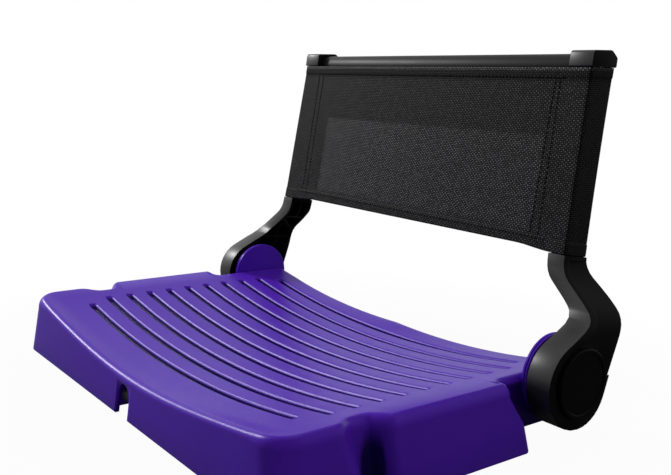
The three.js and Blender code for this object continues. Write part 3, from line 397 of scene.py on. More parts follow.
def turned_body(mesh, profile, centre, sides):
    """A closed round body about an axis along X through centre (y, z).

    Its profile's points are (radius, x), and the first and the last lie on the axis."""
    rings = []
    for radius, x in profile:
        if radius == 0:
            rings.append([mesh.verts.new((x, centre[0], centre[1]))] * sides)
            continue
        ring = []
        for k in range(sides):
            a = 2 * math.pi * k / sides
            place = (x, centre[0] + radius * math.cos(a), centre[1] + radius * math.sin(a))
            ring.append(mesh.verts.new(place))
        rings.append(ring)
    for a, b in zip(rings, rings[1:]):
        for i in range(sides):
            j = (i + 1) % sides
            corners = list(dict.fromkeys((a[i], a[j], b[j], b[i])))
            if len(corners) > 2:
                mesh.faces.new(corners)
    bmesh.ops.recalc_face_normals(mesh, faces=mesh.faces)


under = bmesh.new()
for side in (-1, 1):
    stations = [
        (side * CHANNEL_X, SEAT_FRONT + CHANNEL_FROM + k * CHANNEL_LENGTH / CHANNEL_STEPS)
        for k in range(CHANNEL_STEPS + 1)
    ]
    under_plate_rib(under, stations, False, lambda x, y: CHANNEL_FOOT_Z)
    inner, outer = side * BOSS_INNER, side * BOSS_OUTER
    profile = [(0, inner), (BOSS_RADIUS, inner), (BOSS_RADIUS, outer), (0, outer)]
    turned_body(under, profile, (HOOK_PIN_Y, HOOK_PIN_Z), BOSS_SIDES)
for place in CROSS_RIBS:
    stations = [
        (-CROSS_RIB_REACH + k * 2 * CROSS_RIB_REACH / CROSS_RIB_STEPS, SEAT_FRONT + place + RIB_HALF)
        for k in range(CROSS_RIB_STEPS + 1)
    ]
    under_plate_rib(under, stations, True, lambda x, y: seat_top(x, y) - PLATE - CROSS_RIB_DEPTH)
ribs = piece_from("seat_ribs", under)

# The ears: a round disc at each rear corner with rounded rims, a fine groove round its edge and the stub
# axle that the arm turns on, moulded in one with the shell.
EAR_RADIUS, EAR_INNER, EAR_OUTER, EAR_SIDES = 31, 198.8, 203.6, 72
EAR_ROUND, EAR_ROUND_STEPS = 0.9, 5
EDGE_GROOVE = [(EAR_RADIUS, 200.9), (29.5, 201.2), (29.5, 201.8), (EAR_RADIUS, 202.1)]
AXLE_RADIUS, AXLE_FILLET, AXLE_END = 10, 0.6, 220


def ear_rim(x, outward):
    """The rounded rim of an ear, from its edge to its face; outward is 1 where the face is at higher x."""
    points = []
    for k in range(EAR_ROUND_STEPS + 1):
        a = k * math.pi / 2 / EAR_ROUND_STEPS
        radius = EAR_RADIUS - EAR_ROUND * (1 - math.cos(a))
        points.append((radius, x - outward * EAR_ROUND * (1 - math.sin(a))))
    return points


for side, word in ((1, "right"), (-1, "left")):
    ear_mesh = bmesh.new()
    profile = [(0, EAR_INNER)] + ear_rim(EAR_INNER, -1)[::-1] + EDGE_GROOVE + ear_rim(EAR_OUTER, 1)
    profile += [(AXLE_RADIUS + AXLE_FILLET, EAR_OUTER), (AXLE_RADIUS, EAR_OUTER + AXLE_FILLET)]
    profile += [(AXLE_RADIUS, AXLE_END), (0, AXLE_END)]
    turned_body(ear_mesh, profile, (HINGE_Y, HINGE_Z), EAR_SIDES)
    if side < 0:
        bmesh.ops.scale(ear_mesh, vec=(-1, 1, 1), verts=ear_mesh.verts)
        bmesh.ops.reverse_faces(ear_mesh, faces=ear_mesh.faces)
    ear = piece_from("ear_" + word, ear_mesh)
    ear.parent = shell
ribs.parent = shell


def linear(colour):
    """An sRGB colour written as #rrggbb, as the linear values that a shader takes."""
    parts = [int(colour[i : i + 2], 16) / 255 for i in (1, 3, 5)]
    return [c / 12.92 if c <= 0.04045 else ((c + 0.055) / 1.055) ** 2.4 for c in parts] + [1.0]


def node(tree, kind, inputs=None, **settings):
    """Adds a shader node; inputs are values, sockets to link, or nodes, whose first output is linked."""
    made = tree.nodes.new("ShaderNode" + kind)
    for name, value in settings.items():
        setattr(made, name, value)
    for name, value in (inputs or {}).items():
        if isinstance(value, bpy.types.Node):
            value = value.outputs[0]
        if isinstance(value, bpy.types.NodeSocket):
            tree.links.new(value, made.inputs[name])
        else:
            made.inputs[name].default_value = value
    return made


def material(name):
    made = bpy.data.materials.new(name)
    made.use_nodes = True
    made.node_tree.nodes.clear()
    return made, made.node_tree


# Waves per metre: tone drifts over about 70 mm, as pigment does in the flow of the melt, and gloss over
# about 17 mm. The grain stands up by this share of its width.
TONE_WAVES, GLOSS_WAVES, GRAIN_HEIGHT = 14.0, 60.0, 0.08


def moulded(
    name, dark, light, roughness, grain_mm, grain, spread=0.05, level=0.5, shade_paint=None, sheen="#ffffff"
):
    """Moulded plastic: a slow change of tone, patchy gloss, and the tool's fine grain as a bump.

    shade_paint is a point attribute and a dark colour: painted shade, which turns the colour to the dark
    one where the attribute is high. sheen is the colour of the gloss, which takes up some pigment. level is
    how much it mirrors, and is low: the pale room on all sides would turn a dark plastic grey."""
    made, tree = material(name)
    where = node(tree, "TexCoord").outputs["Object"]
    cloud = node(tree, "TexNoise", {"Vector": where, "Scale": TONE_WAVES, "Detail": 4.0})
    tones = {0: cloud, 6: linear(dark), 7: linear(light)}
    tone = node(tree, "Mix", tones, data_type="RGBA")
    # Painted shade: where the attribute passes from 0.3 to 0.7, the colour turns to the dark shade colour.
    if shade_paint:
        share = node(tree, "Attribute", attribute_name=shade_paint[0]).outputs["Fac"]
        edge = {"Value": share, "From Min": 0.3, "From Max": 0.7}
        inside = node(tree, "MapRange", edge, interpolation_type="SMOOTHSTEP")
        tones = {0: inside, 6: tone.outputs[2], 7: linear(shade_paint[1])}
        tone = node(tree, "Mix", tones, data_type="RGBA")
    patch = node(tree, "TexNoise", {"Vector": where, "Scale": GLOSS_WAVES, "Detail": 6.0})
    span = {"Value": patch, "To Min": roughness - spread, "To Max": roughness + spread}
    gloss = node(tree, "MapRange", span)
    grains = {"Vector": where, "Scale": 1 / (grain_mm * MM), "Detail": 2.0, "Roughness": 0.6}
    fine = node(tree, "TexNoise", grains)
    stands_up = GRAIN_HEIGHT * grain_mm * MM
    bump = node(tree, "Bump", {"Height": fine, "Strength": grain, "Distance": stands_up})
    surface = {"Base Color": tone.outputs[2], "Roughness": gloss, "Normal": bump}
    surface.update({"Specular IOR Level": level, "Specular Tint": linear(sheen)})
    node(tree, "OutputMaterial", {"Surface": node(tree, "BsdfPrincipled", surface)})
    return made


# Polypropylene, pigmented through and moulded in a finely eroded tool: a deep, even purple with a soft
# satin gloss on its rims and groove lips, and painted shade, a darker purple, in the grooves, flutes and
# recesses. The tool's grain is finer than a pixel, and is drawn 1.3 mm wide to show.
purple = moulded(
    "moulded purple polypropylene",
    "#481ba5",
    "#5120b1",
    roughness=0.34,
    spread=0.04,
    grain_mm=1.3,
    grain=0.9,
    level=0.11,
    shade_paint=("painted_shade", "#16054a"),
    sheen="#c4b0ff",
)
for piece in (shell, *shell.children):
    piece.data.materials.clear()
    piece.data.materials.append(purple)
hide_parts("seat_shell")
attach(shell, "seat")


# Arms, top caps and pivot caps. Black glass-filled nylon mouldings, satin, with rounded edges. The arms
# turn on the shell's stub axles, the top caps snap over the ends of the blades and the pivot caps snap
# into round seats over the hinge screws.
ARM_ROUND, CAP_ROUND = 0.9, 0.5
EDGE_ANGLE, EDGE_STEPS, SAME_POINT_MM, SAME_PLANE_ANGLE = 28, 3, 0.01, 0.5
SIDEWAYS = 0.55

# Glass-filled nylon, moulded in a smooth tool: near black, with a satin gloss that draws a thin line of
# light along every rounded edge. Its grain of a tenth of a millimetre is drawn 0.5 mm wide to show.
black = moulded(
    "moulded black nylon", "#060606", "#0a0a0a", roughness=0.42, grain_mm=0.5, grain=0.5, level=0.38
)
# A darker, matt copy of the same nylon, put on the faces that look left or right: painted shade, with
# almost no reflection, so that the sides look deeper black than the edges.
shaded_side_black = moulded(
    "black nylon with painted side shade", "#040404", "#070707", roughness=0.6, grain_mm=0.5, grain=0.7, level=0.03
)
# A darker copy of the same nylon for the pivot caps, which face sideways: painted shade, as dark as the
# arms' sides, but smoother, so that only the rims catch a little light. Its grain is drawn 0.4 mm wide to
# show.
shaded_cap_black = moulded(
    "black cap nylon with painted shade", "#040404", "#070707", roughness=0.42, grain_mm=0.4, grain=0.6, level=0.02
)


def soften(obj, width):
    """Rounds the edges of a CAD piece that keeps its own mesh, and shades its curved faces smooth."""
    weld = obj.modifiers.new("weld", "WELD")
    weld.merge_threshold = SAME_POINT_MM * MM
    flat = obj.modifiers.new("flat faces", "DECIMATE")
    flat.decimate_type, flat.angle_limit = "DISSOLVE", math.radians(SAME_PLANE_ANGLE)
    if width:
        round_off = obj.modifiers.new("rounded edges", "BEVEL")
        round_off.width, round_off.segments = width * MM, EDGE_STEPS
        round_off.limit_method, round_off.angle_limit = "ANGLE", math.radians(EDGE_ANGLE)
    split = obj.modifiers.new("crisp edges", "EDGE_SPLIT")
    split.split_angle = math.radians(EDGE_ANGLE)
    obj.data.polygons.foreach_set("use_smooth", [True] * len(obj.data.polygons))


def dress(name, finish, width=0.0, side_shade_finish=None):
    """Gives a CAD piece its finish; side_shade_finish, painted shade, goes on faces looking straight left
    or right.
    """
    obj = frame["nodes"][name]
    obj.data.materials.clear()
    obj.data.materials.append(finish)
    if side_shade_finish:
        obj.data.materials.append(side_shade_finish)
        for face in obj.data.polygons:
            face.material_index = 1 if abs(face.normal.x) > SIDEWAYS else 0
    soften(obj, width)


# The faces that look left or right get painted shade: a darker, matt copy of the nylon.
for word in ("left", "right"):
    dress("arm_" + word, black, ARM_ROUND, shaded_side_black)
    dress("top_cap_" + word, black, CAP_ROUND, shaded_side_black)
    dress("pivot_cap_" + word, shaded_cap_black)


# Crossbar. A steel tube with black powder coat between the arms' heads, above the sling, held by a screw
# through each head into a plug in the tube's end.
TUBE_EDGE_ROUND = 0.2

# Powder coat, sprayed on dry and baked: black, with the orange peel of melted powder, 0.7 mm from crest
# to crest, which spreads each reflection into a soft band.
coat = moulded(
    "baked black powder coat",
    "#0c0c0d",
    "#121213",
    roughness=0.5,
    spread=0.04,
    grain_mm=0.7,
    grain=0.9,
    level=0.15,
)
dress("crossbar", coat, TUBE_EDGE_ROUND)
for word in ("left", "right"):
    dress("crossbar_plug_" + word, black)


# Hinge hardware and hook pin. Bright zinc-plated steel screws, washers and pin, and natural nylon
# bushes between the shell's axles and the arms.
PLATING_WAVES = 300.0

# Zinc, plated bright in a bath: cool grey metal with a soft shine, and faint clouds 3 mm wide in both its
# tone and its gloss.
zinc, zinc_tree = material("plated bright zinc")
spot = node(zinc_tree, "TexCoord").outputs["Object"]
cloud = node(zinc_tree, "TexNoise", {"Vector": spot, "Scale": PLATING_WAVES, "Detail": 5.0})
tones = {0: cloud, 6: linear("#9fa6ad"), 7: linear("#c6cbd0")}
tone = node(zinc_tree, "Mix", tones, data_type="RGBA")
gloss = node(zinc_tree, "MapRange", {"Value": cloud, "To Min": 0.22, "To Max": 0.38})
surface = {"Base Color": tone.outputs[2], "Roughness": gloss, "Metallic": 1.0}
plated = node(zinc_tree, "BsdfPrincipled", surface)
node(zinc_tree, "OutputMaterial", {"Surface": plated})
# Nylon without pigment, moulded: a milky cream with a soft gloss. Its grain is drawn 0.6 mm wide to show.
nylon = moulded("moulded natural nylon", "#d2cdbc", "#dcd8ca", roughness=0.45, grain_mm=0.6, grain=0.3)
for word in ("left", "right"):
    dress("pivot_washer_" + word, zinc)
    dress("pivot_screw_" + word, zinc)
    dress("crossbar_screw_" + word, zinc)
    dress("pivot_bush_" + word, nylon)
dress("hook_pin", zinc)


# Bench hook. A flat steel hook with black powder coat, folded up under the shell on its pin; it swings
# down through the notch in the front skirt and grips the edge of the bench.
HOOK_ROUND = 0.5
dress("bench_hook", coat, HOOK_ROUND)


# Sling. A panel of coated polyester mesh in plain weave, pulled tight between the arms. Each side is
# wrapped round an arm's blade, brought back behind the panel and sewn down with two rows; the top and
# bottom are folded into a hem and sewn. Heights in this section are above the hinge axis.
BLADE_LOW, BLADE_FOOT, BLADE_TOP, SLING_FOOT = 72, 76.0, 225.0, 85.0
# The right blade's sides, each as its place at the blade's foot and at its top.
BLADE_INNER, BLADE_OUTER = (174.3, 163), (189.2, 183.6)
BLADE_FRONT, BLADE_REAR = (20.42, 43.8), (48.0, 72.7)
# The cloth's way round the blade: how far it stands off, how far its back is drawn in by the pull, where
# it comes back behind the panel, from the blade's inner side to the end of the seam, and its bends.
STAND_OFF, DRAWN_IN, LAP_BEHIND, LAP_FROM, LAP_TO = 0.1, 0.7, 2.2, 7.5, 24.0
BENDS, BEHIND_BLADE, BEND_SHARE = (3.0, 3.5, 3.0, 4.0), 0.5, 0.45
FINE_FROM, FINE_TO, PANEL_STEPS, EDGE_PANEL_STEPS, BEND_STEPS = 30, 4, 40, 10, 6
# The panel's lower edge is a little higher than the sleeves', which fall towards the back.
PANEL_DEPTH, PANEL_RISE, RISE_TO, RISE_RUN, SLEEVE_FALL, SLEEVE_DEPTH = 3.3, 2.2, 140, 34, 4.0, 27
# Hems: widths at the foot and at the top, how thick the folded cloth is, and the rows of points there.
FOOT_HEM, TOP_HEM, HEM_MIDDLE, HEM_THICK, FOLD_RUN, FOLD_SHARE = 9.6, 8.2, 4, 0.45, 0.7, 0.2
FOOT_ROWS = (0, 0.5, 1.2, 3, 5, 7, 8.4, 9.0, 9.6, 10.4)
TOP_ROWS = (9.2, 8.4, 7.8, 7.2, 6.0, 3, 1.2, 0.5, 0)
MIDDLE_ROWS = 25
CLOTH_CREASE, SLING_THICK = 60, 0.75


def blade_at(z):
    """Inner and outer X and front and back Y of the sleeve round the right blade."""
    narrowed = (z - BLADE_LOW) / (BLADE_TOP - BLADE_LOW)
    leaned = (z - BLADE_FOOT) / (BLADE_TOP - BLADE_FOOT)
    shares = (narrowed, narrowed, leaned, leaned)
    sides = (BLADE_INNER, BLADE_OUTER, BLADE_FRONT, BLADE_REAR)
    return [foot + (top - foot) * share for (foot, top), share in zip(sides, shares)]


def sling_section(z):
    """Half the sling's path at a height, from the middle of the panel round the right blade to the seam."""
    inner, outer, front, rear = blade_at(z)
    up = min(max((z - SLING_FOOT) / (BLADE_TOP - SLING_FOOT), 0), 1)
    rear -= DRAWN_IN * math.sin(math.pi * up)
    panel_y, lap_y = front + STAND_OFF, front + LAP_BEHIND
    corners = [
        (outer - STAND_OFF, panel_y),
        (outer - STAND_OFF, rear - STAND_OFF),
        (inner + BEHIND_BLADE, rear - STAND_OFF),
        (inner - LAP_FROM, lap_y),
    ]
    raw = [(0.0, panel_y), *corners, (inner - LAP_TO, lap_y)]
    fine_x = inner - FINE_FROM
    path = [Vector((k * fine_x / PANEL_STEPS, panel_y)) for k in range(PANEL_STEPS + 1)]
    step = (outer - FINE_TO - inner + FINE_FROM) / EDGE_PANEL_STEPS
    path += [Vector((fine_x + k * step, panel_y)) for k in range(1, EDGE_PANEL_STEPS + 1)]
    for i, radius in enumerate(BENDS, 1):
        here = Vector(raw[i])
        before = (here - Vector(raw[i - 1])).normalized()
        after = (Vector(raw[i + 1]) - here).normalized()
        half_turn = before.angle(after) / 2
        reach = min(radius * math.tan(half_turn), (Vector(raw[i + 1]) - here).length * BEND_SHARE)
        a, b = here - before * reach, here + after * reach
        for k in range(BEND_STEPS + 1):
            t = k / BEND_STEPS
            path.append(a.lerp(here, t).lerp(here.lerp(b, t), t))
        if i < len(BENDS):
            far = Vector(raw[i + 1]) - after * reach
            path += [b.lerp(far, s) for s in (0.2, 0.4, 0.6, 0.8)]
        else:
            path += [b.lerp(Vector(raw[-1]), s) for s in (0.25, 0.5, 0.75, 1)]
    return path


def sling_foot(point, front):
    """Height of the lower edge: the panel's is higher than the sleeves', which fall towards the back."""
    if point.y <= front + PANEL_DEPTH:
        return SLING_FOOT + PANEL_RISE * (1 - eased((abs(point.x) - RISE_TO) / RISE_RUN))
    return SLING_FOOT - SLEEVE_FALL * min((point.y - front) / SLEEVE_DEPTH, 1)


def hem_swell(above_foot, below_top):
    """How far the folded hems stand proud of the cloth."""
    folded = eased(above_foot / FOLD_RUN + FOLD_SHARE)
    low = eased(FOOT_HEM - above_foot) if above_foot > HEM_MIDDLE else folded
    high = eased(TOP_HEM - below_top) if below_top > HEM_MIDDLE else 1.0
    return HEM_THICK * max(low, high)


def sling_mesh():
    """The sling's sheet, with a map of the cloth as it lies flat, and the width of that flat cloth."""
    mesh = bmesh.new()
    cloth = mesh.loops.layers.uv.new("cloth")
    _, _, front_low, _ = blade_at(SLING_FOOT)
    sections = {}

    def section(z):
        key = round(z, 3)
        if key not in sections:
            sections[key] = sling_section(z)
        return sections[key]

    base = section(SLING_FOOT)
    count = len(base)
    lengths = [0.0]
    for a, b in zip(base, base[1:]):
        lengths.append(lengths[-1] + (b - a).length)
    grid = []
    for k in range(count):
        foot = sling_foot(base[k], front_low)
        low, high = FOOT_ROWS[-1], TOP_ROWS[0]
        room = BLADE_TOP - high - foot - low
        heights = [foot + d for d in FOOT_ROWS]
        heights += [foot + low + room * j / MIDDLE_ROWS for j in range(1, MIDDLE_ROWS)]
        heights += [BLADE_TOP - d for d in TOP_ROWS]
        line = []
        for z in heights:
            p = section(z)[k]
            q = section(z)[max(k - 1, 0)]
            n = section(z)[min(k + 1, count - 1)]
            along = (n - q).normalized()
            outward = Vector((along.y, -along.x))
            swell = hem_swell(z - foot, BLADE_TOP - z)
            line.append((p.x + outward.x * swell, p.y + outward.y * swell, z))
        grid.append(line)
    full = []
    for side in (-1, 1):
        order = range(count - 1, 0, -1) if side < 0 else range(count)
        for k in order:
            full.append((side * lengths[k], [(side * x, y, z) for x, y, z in grid[k]]))
    verts = [[mesh.verts.new((x, y + HINGE_Y, z + HINGE_Z)) for x, y, z in line] for _, line in full]
    for i in range(len(full) - 1):
        for j in range(len(verts[0]) - 1):
            places = ((i, j), (i + 1, j), (i + 1, j + 1), (i, j + 1))
            face = mesh.faces.new([verts[a][b] for a, b in places])
            for loop, (a, b) in zip(face.loops, places):
                loop[cloth].uv = (full[a][0] * MM, full[a][1][b][2] * MM)
    return mesh, 2 * lengths[-1]


sling_shape, sling_width = sling_mesh()
sling = piece_from("sling_cloth", sling_shape, CLOTH_CREASE)
thick = sling.modifiers.new("cloth", "SOLIDIFY")
thick.thickness, thick.offset = SLING_THICK * MM, -1

# The weave. Real yarns of this cloth are finer than the picture can show, so they are drawn 1.79 mm
# apart across and 1.5 mm apart up the cloth. They wander by up to 0.3 mm over about 3 mm.
WARP_MM, WEFT_MM, WANDER_MM, WANDER_WAVES = 1.79, 1.5, 0.3, 330.0
CROWN_SHARPNESS, UNDER_SHARE, YARN_HEIGHT_MM = 2.2, 0.6, 0.3
# Painted light and shade, which make the cloth lighter or darker: the share, and the bands that bound it.
# A band goes along x, z or across the sleeve's slanted edge, from and to in millimetres, with a value
# before and after.
SLEEVE_SLANT = 0.0366
SLING_PAINTED_LIGHT = (
    # Painted light: the pocket's second layer behind the sling, drawn lighter, more so towards the left.
    (
        1.0,
        (
            ("x", -150, 150, 1.1, 0.6),
            ("x", -133, -129, 0.0, 1.0),
            ("x", 151, 154, 1.0, 0.0),
            ("z", 144, 148, 0.0, 1.0),
            ("z", 218, 220.5, 1.0, 0.0),
        ),
    ),
    # Painted shade on the turn round the blades.
    (-0.75, (("sleeve", 191.8, 192.8, 0.0, 1.0),)),
    # Painted shade in the fold of the top hem, and a painted highlight on the edge above it.
    (-0.55, (("z", 259.5, 262.5, 0.0, 1.0), ("z", 268.5, 269.5, 1.0, 0.0))),
    (2.2, (("z", 269.3, 270.3, 0.0, 1.0),)),
)
POCKET_PAINTED_LIGHT = ((0.5, ()),)


def woven(name, yarn, crown, lights):
    """Coated yarn in plain weave: yarns go over and under in turn, and a painted highlight lies on the ones
    along the width.

    yarn is the colour between the yarns and crown the colour on top of them, a painted highlight. lights
    are the places where painted light and shade make the cloth lighter or darker."""
    made, tree = material(name)
    uv = node(tree, "UVMap", uv_map="cloth").outputs["UV"]
    where = node(tree, "TexCoord").outputs["Object"]
    drift = node(tree, "TexNoise", {"Vector": where, "Scale": WANDER_WAVES, "Detail": 2.0})
    wander = {0: drift.outputs["Color"], 1: (WANDER_MM * MM, WANDER_MM * MM, 0), 2: uv}
    wandering = node(tree, "VectorMath", wander, operation="MULTIPLY_ADD")
    per_metre = (1000 / WARP_MM, 1000 / WEFT_MM, 0)
    crossings = node(tree, "VectorMath", {0: wandering, 1: per_metre}, operation="MULTIPLY")

    # Across each yarn, from edge to edge, its crown is 0, 1 and 0: 1 - (2 share - 1) squared.
    share = node(tree, "VectorMath", {0: crossings}, operation="FRACTION")
    doubled = {0: share, 1: (2, 2, 2), 2: (-1, -1, -1)}
    off = node(tree, "VectorMath", doubled, operation="MULTIPLY_ADD")
    squared = node(tree, "VectorMath", {0: off, 1: off}, operation="MULTIPLY")
    crowns = node(tree, "VectorMath", {0: (1, 1, 1), 1: squared}, operation="SUBTRACT")
    warp, weft, _ = node(tree, "SeparateXYZ", {0: crowns}).outputs
    bulge = node(tree, "Math", {0: warp, 1: 0.8, 2: 0.2}, operation="MULTIPLY_ADD")
    over = node(tree, "Math", {0: weft, 1: bulge}, operation="MULTIPLY")
    under = node(tree, "Math", {0: over, 1: UNDER_SHARE}, operation="MULTIPLY")
    in_turn = {"Vector": crossings, "Color1": (1, 1, 1, 1), "Color2": (0, 0, 0, 1), "Scale": 1.0}
    on_top = node(tree, "SeparateColor", {0: node(tree, "TexChecker", in_turn)})
    height = node(tree, "Mix", {0: on_top, 2: under, 3: over}, data_type="FLOAT")

    # Every crossing has a coat of its own, a little brighter or duller, and a little rougher or smoother.
    cell = node(tree, "VectorMath", {0: crossings}, operation="FLOOR")
    uneven = node(tree, "TexWhiteNoise", {"Vector": cell}, noise_dimensions="2D")
    bright = {"Value": uneven, "To Min": 0.35, "To Max": 0.8}
    rough = {"Value": uneven, "To Min": 0.5, "To Max": 0.64}
    brightness = node(tree, "MapRange", bright, interpolation_type="SMOOTHSTEP")
    roughness = node(tree, "MapRange", rough, interpolation_type="SMOOTHSTEP")
    # The painted highlight on the crowns, sharpest on their crests, a little stronger on some crossings.
    shine = node(tree, "Math", {0: height, 1: CROWN_SHARPNESS}, operation="POWER")
    shine = node(tree, "Math", {0: shine, 1: brightness}, operation="MULTIPLY")
    x, _, z = node(tree, "SeparateXYZ", {0: where}).outputs
    sideways = node(tree, "Math", {0: x}, operation="ABSOLUTE")
    slanted = {0: z, 1: SLEEVE_SLANT, 2: sideways}
    sleeve = node(tree, "Math", slanted, operation="MULTIPLY_ADD")
    lines = {"x": x, "z": z, "sleeve": sleeve}
    # Painted light and shade: each entry draws the crowns lighter or darker within its bands.
    for change, bands in lights:
        for along, start, end, before, after in bands:
            reach = {"Value": lines[along], "From Min": start * MM, "From Max": end * MM}
            reach.update({"To Min": before, "To Max": after})
            band = node(tree, "MapRange", reach, interpolation_type="SMOOTHSTEP")
            change = node(tree, "Math", {0: band, 1: change}, operation="MULTIPLY")
        changed = {0: change, 1: shine, 2: shine}
        shine = node(tree, "Math", changed, operation="MULTIPLY_ADD")
    tones = {0: shine, 6: linear(yarn), 7: linear(crown)}
    tone = node(tree, "Mix", tones, data_type="RGBA").outputs[2]
    bump = node(tree, "Bump", {"Height": height, "Strength": 0.5, "Distance": YARN_HEIGHT_MM * MM})
    surface = {"Base Color": tone, "Roughness": roughness, "Specular IOR Level": 0.02, "Normal": bump}
    node(tree, "OutputMaterial", {"Surface": node(tree, "BsdfPrincipled", surface)})
    return made


# Polyester yarn with a black plastic coat, woven: black, with a painted highlight in small grey crowns,
# which reads from afar as dark cloth with a fine sparkle. The crowns' grey is a painted highlight, because
# a reflection of the pale room would be the same on all of them.
mesh_cloth = woven("woven polyester mesh", "#050505", "#838383", SLING_PAINTED_LIGHT)
sling.data.materials.append(mesh_cloth)
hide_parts("sling")
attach(sling, "backrest")


# Stitching of the sling. Thick bonded black thread in lock stitch, two rows down each side through the
# wrapped end, and one row along each hem. A stitch's form gives, from end to end, the place along it, the
# thread's half thickness and its lift off the cloth.
STITCH, STITCH_SIDES = 3.8, 6
STITCH_FORM = ((-1.5, 0.12, -0.1), (-1.1, 0.4, 0.12), (0, 0.46, 0.22))
STITCH_FORM += ((1.1, 0.4, 0.12), (1.5, 0.12, -0.1))
# Side rows as x at the foot and at the top, hem rows as half length and height above the hinge axis.
SIDE_ROWS = ((-157.6, -157.2), (-150.6, -149.8), (151.7, 151.7), (160.3, 156.1))
SIDE_ROW_FOOT, SIDE_ROW_TOP = 88.5, 223.0
HEM_ROWS = ((168, 94.2), (160, 217.2))
ON_CLOTH, ON_HEM, PANEL_LEAN = 0.05, 0.5, 0.157


def stitch_row(mesh, start, end, normal):
    run = end - start
    count = max(int(run.length / STITCH), 1)
    along = run.normalized()
    side = along.cross(normal)
    for i in range(count):
        middle = start + run * ((i + 0.5) / count)
        rings = []
        for offset, size, lift in STITCH_FORM:
            ring = []
            for k in range(STITCH_SIDES):
                a = k * 2 * math.pi / STITCH_SIDES
                round_thread = side * size * math.cos(a) + normal * (lift + size * math.sin(a))
                ring.append(mesh.verts.new(middle + along * offset + round_thread))
            rings.append(ring)
        for a, b in zip(rings, rings[1:]):
            skin(mesh, a, b)
        mesh.faces.new(rings[0])
        mesh.faces.new(rings[-1])


def on_panel(x, z, proud):
    front = blade_at(z)[2]
    return Vector((x, front + STAND_OFF - proud + HINGE_Y, z + HINGE_Z))


thread_mesh = bmesh.new()
toward_sitter = Vector((0, -1, PANEL_LEAN)).normalized()
for low, high in SIDE_ROWS:
    ends = on_panel(low, SIDE_ROW_FOOT, ON_CLOTH), on_panel(high, SIDE_ROW_TOP, ON_CLOTH)
    stitch_row(thread_mesh, *ends, toward_sitter)
for reach, z in HEM_ROWS:
    stitch_row(thread_mesh, on_panel(-reach, z, ON_HEM), on_panel(reach, z, ON_HEM), toward_sitter)
bmesh.ops.recalc_face_normals(thread_mesh, faces=thread_mesh.faces)
thread = piece_from("sling_stitches", thread_mesh, CLOTH_CREASE)
# Polyester thread, twisted and bonded with resin: dull black beads in a row, a dotted line darker than
# the cloth. Its twist is a grain of 0.3 mm.
bonded_thread = moulded(
    "bonded polyester thread", "#030303", "#060606", roughness=0.6, grain_mm=0.3, grain=0.5, level=0.1
)
thread.data.materials.append(bonded_thread)
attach(thread, "backrest")


# Rear pocket. A flat pocket of the same mesh on the sling's back, sewn down along its sides and foot and
# open at the top, where its edge is folded into a hem; it hangs a little slack. Heights in this section
# are above the bench.
POCKET_HALF, POCKET_FOOT, POCKET_TOP, POCKET_HEM = 143.6, 145.2, 219.6, 11.0
POCKET_THICK, POCKET_SAG, HEM_FOLD = 0.7, 1.6, 0.9
BACK_Y, BACK_Z, BACK_LEAN, LAYER_GAP = 114.45, 145, 0.156, 0.4
SEAM, SIDE_RUN, FOOT_RUN, SLACK, PUCKER = 6, 26, 30, 6.2, 0.35
POCKET_COLUMNS, POCKET_ROWS, POCKET_HEM_ROWS = 96, 24, (0.4, 0.9, 3, 6, 9, 10.3, 11)


def pocket_back(x, z):
    """How far back the pocket's cloth stands: sewn flat round three sides, slack towards its open top.

    Its slack hangs in waves of 1 to 2 mm, 100 to 230 mm long, and the seams pucker it in short ones."""
    panel = BACK_Y + (z - BACK_Z) * BACK_LEAN
    from_side = eased((POCKET_HALF - SEAM - abs(x)) / SIDE_RUN)
    from_foot = eased((z - POCKET_FOOT - SEAM) / FOOT_RUN)
    pucker = PUCKER * math.sin(x / 7.5) * math.sin(z / 5 + x / 31) * (1 - from_side * 0.6)
    slack = SLACK + 1.9 * math.sin(x / 37 + 0.6) + 0.9 * math.sin(x / 16 + z / 21)
    return panel + from_side * from_foot * slack + LAYER_GAP + pucker * from_foot


def pocket_mesh():
    mesh = bmesh.new()
    cloth = mesh.loops.layers.uv.new("cloth")
    columns = [-POCKET_HALF + k * 2 * POCKET_HALF / POCKET_COLUMNS for k in range(POCKET_COLUMNS + 1)]
    plain = POCKET_TOP - POCKET_HEM - POCKET_FOOT
    heights = [POCKET_FOOT + k * plain / POCKET_ROWS for k in range(POCKET_ROWS + 1)]
    heights += [POCKET_TOP - POCKET_HEM + d for d in POCKET_HEM_ROWS]
    grid = []
    for z in heights:
        swell = HEM_THICK * eased((z - POCKET_TOP + POCKET_HEM) / HEM_FOLD)
        sag = POCKET_SAG * eased((z - POCKET_FOOT) / (POCKET_TOP - POCKET_FOOT))
        line = []
        for x in columns:
            hang = sag * (1 - (x / POCKET_HALF) ** 2)
            line.append(mesh.verts.new((x, pocket_back(x, z) + swell, z - hang)))
        grid.append(line)
    for a, b in zip(grid, grid[1:]):
        for i in range(POCKET_COLUMNS):
            face = mesh.faces.new((a[i + 1], a[i], b[i], b[i + 1]))
            for loop in face.loops:
                loop[cloth].uv = (loop.vert.co.x * MM, loop.vert.co.z * MM)
    return mesh


pocket = piece_from("pocket_cloth", pocket_mesh(), CLOTH_CREASE)
thick = pocket.modifiers.new("cloth", "SOLIDIFY")
thick.thickness, thick.offset = POCKET_THICK * MM, -1
# The same coated and woven yarn, with the same painted highlight on its crowns. Less of the room reaches
# it behind the sling, so its painted highlight is drawn a little lighter to look the same.
pocket.data.materials.append(woven("woven pocket mesh", "#050505", "#878787", POCKET_PAINTED_LIGHT))
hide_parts("rear_pocket")
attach(pocket, "backrest")


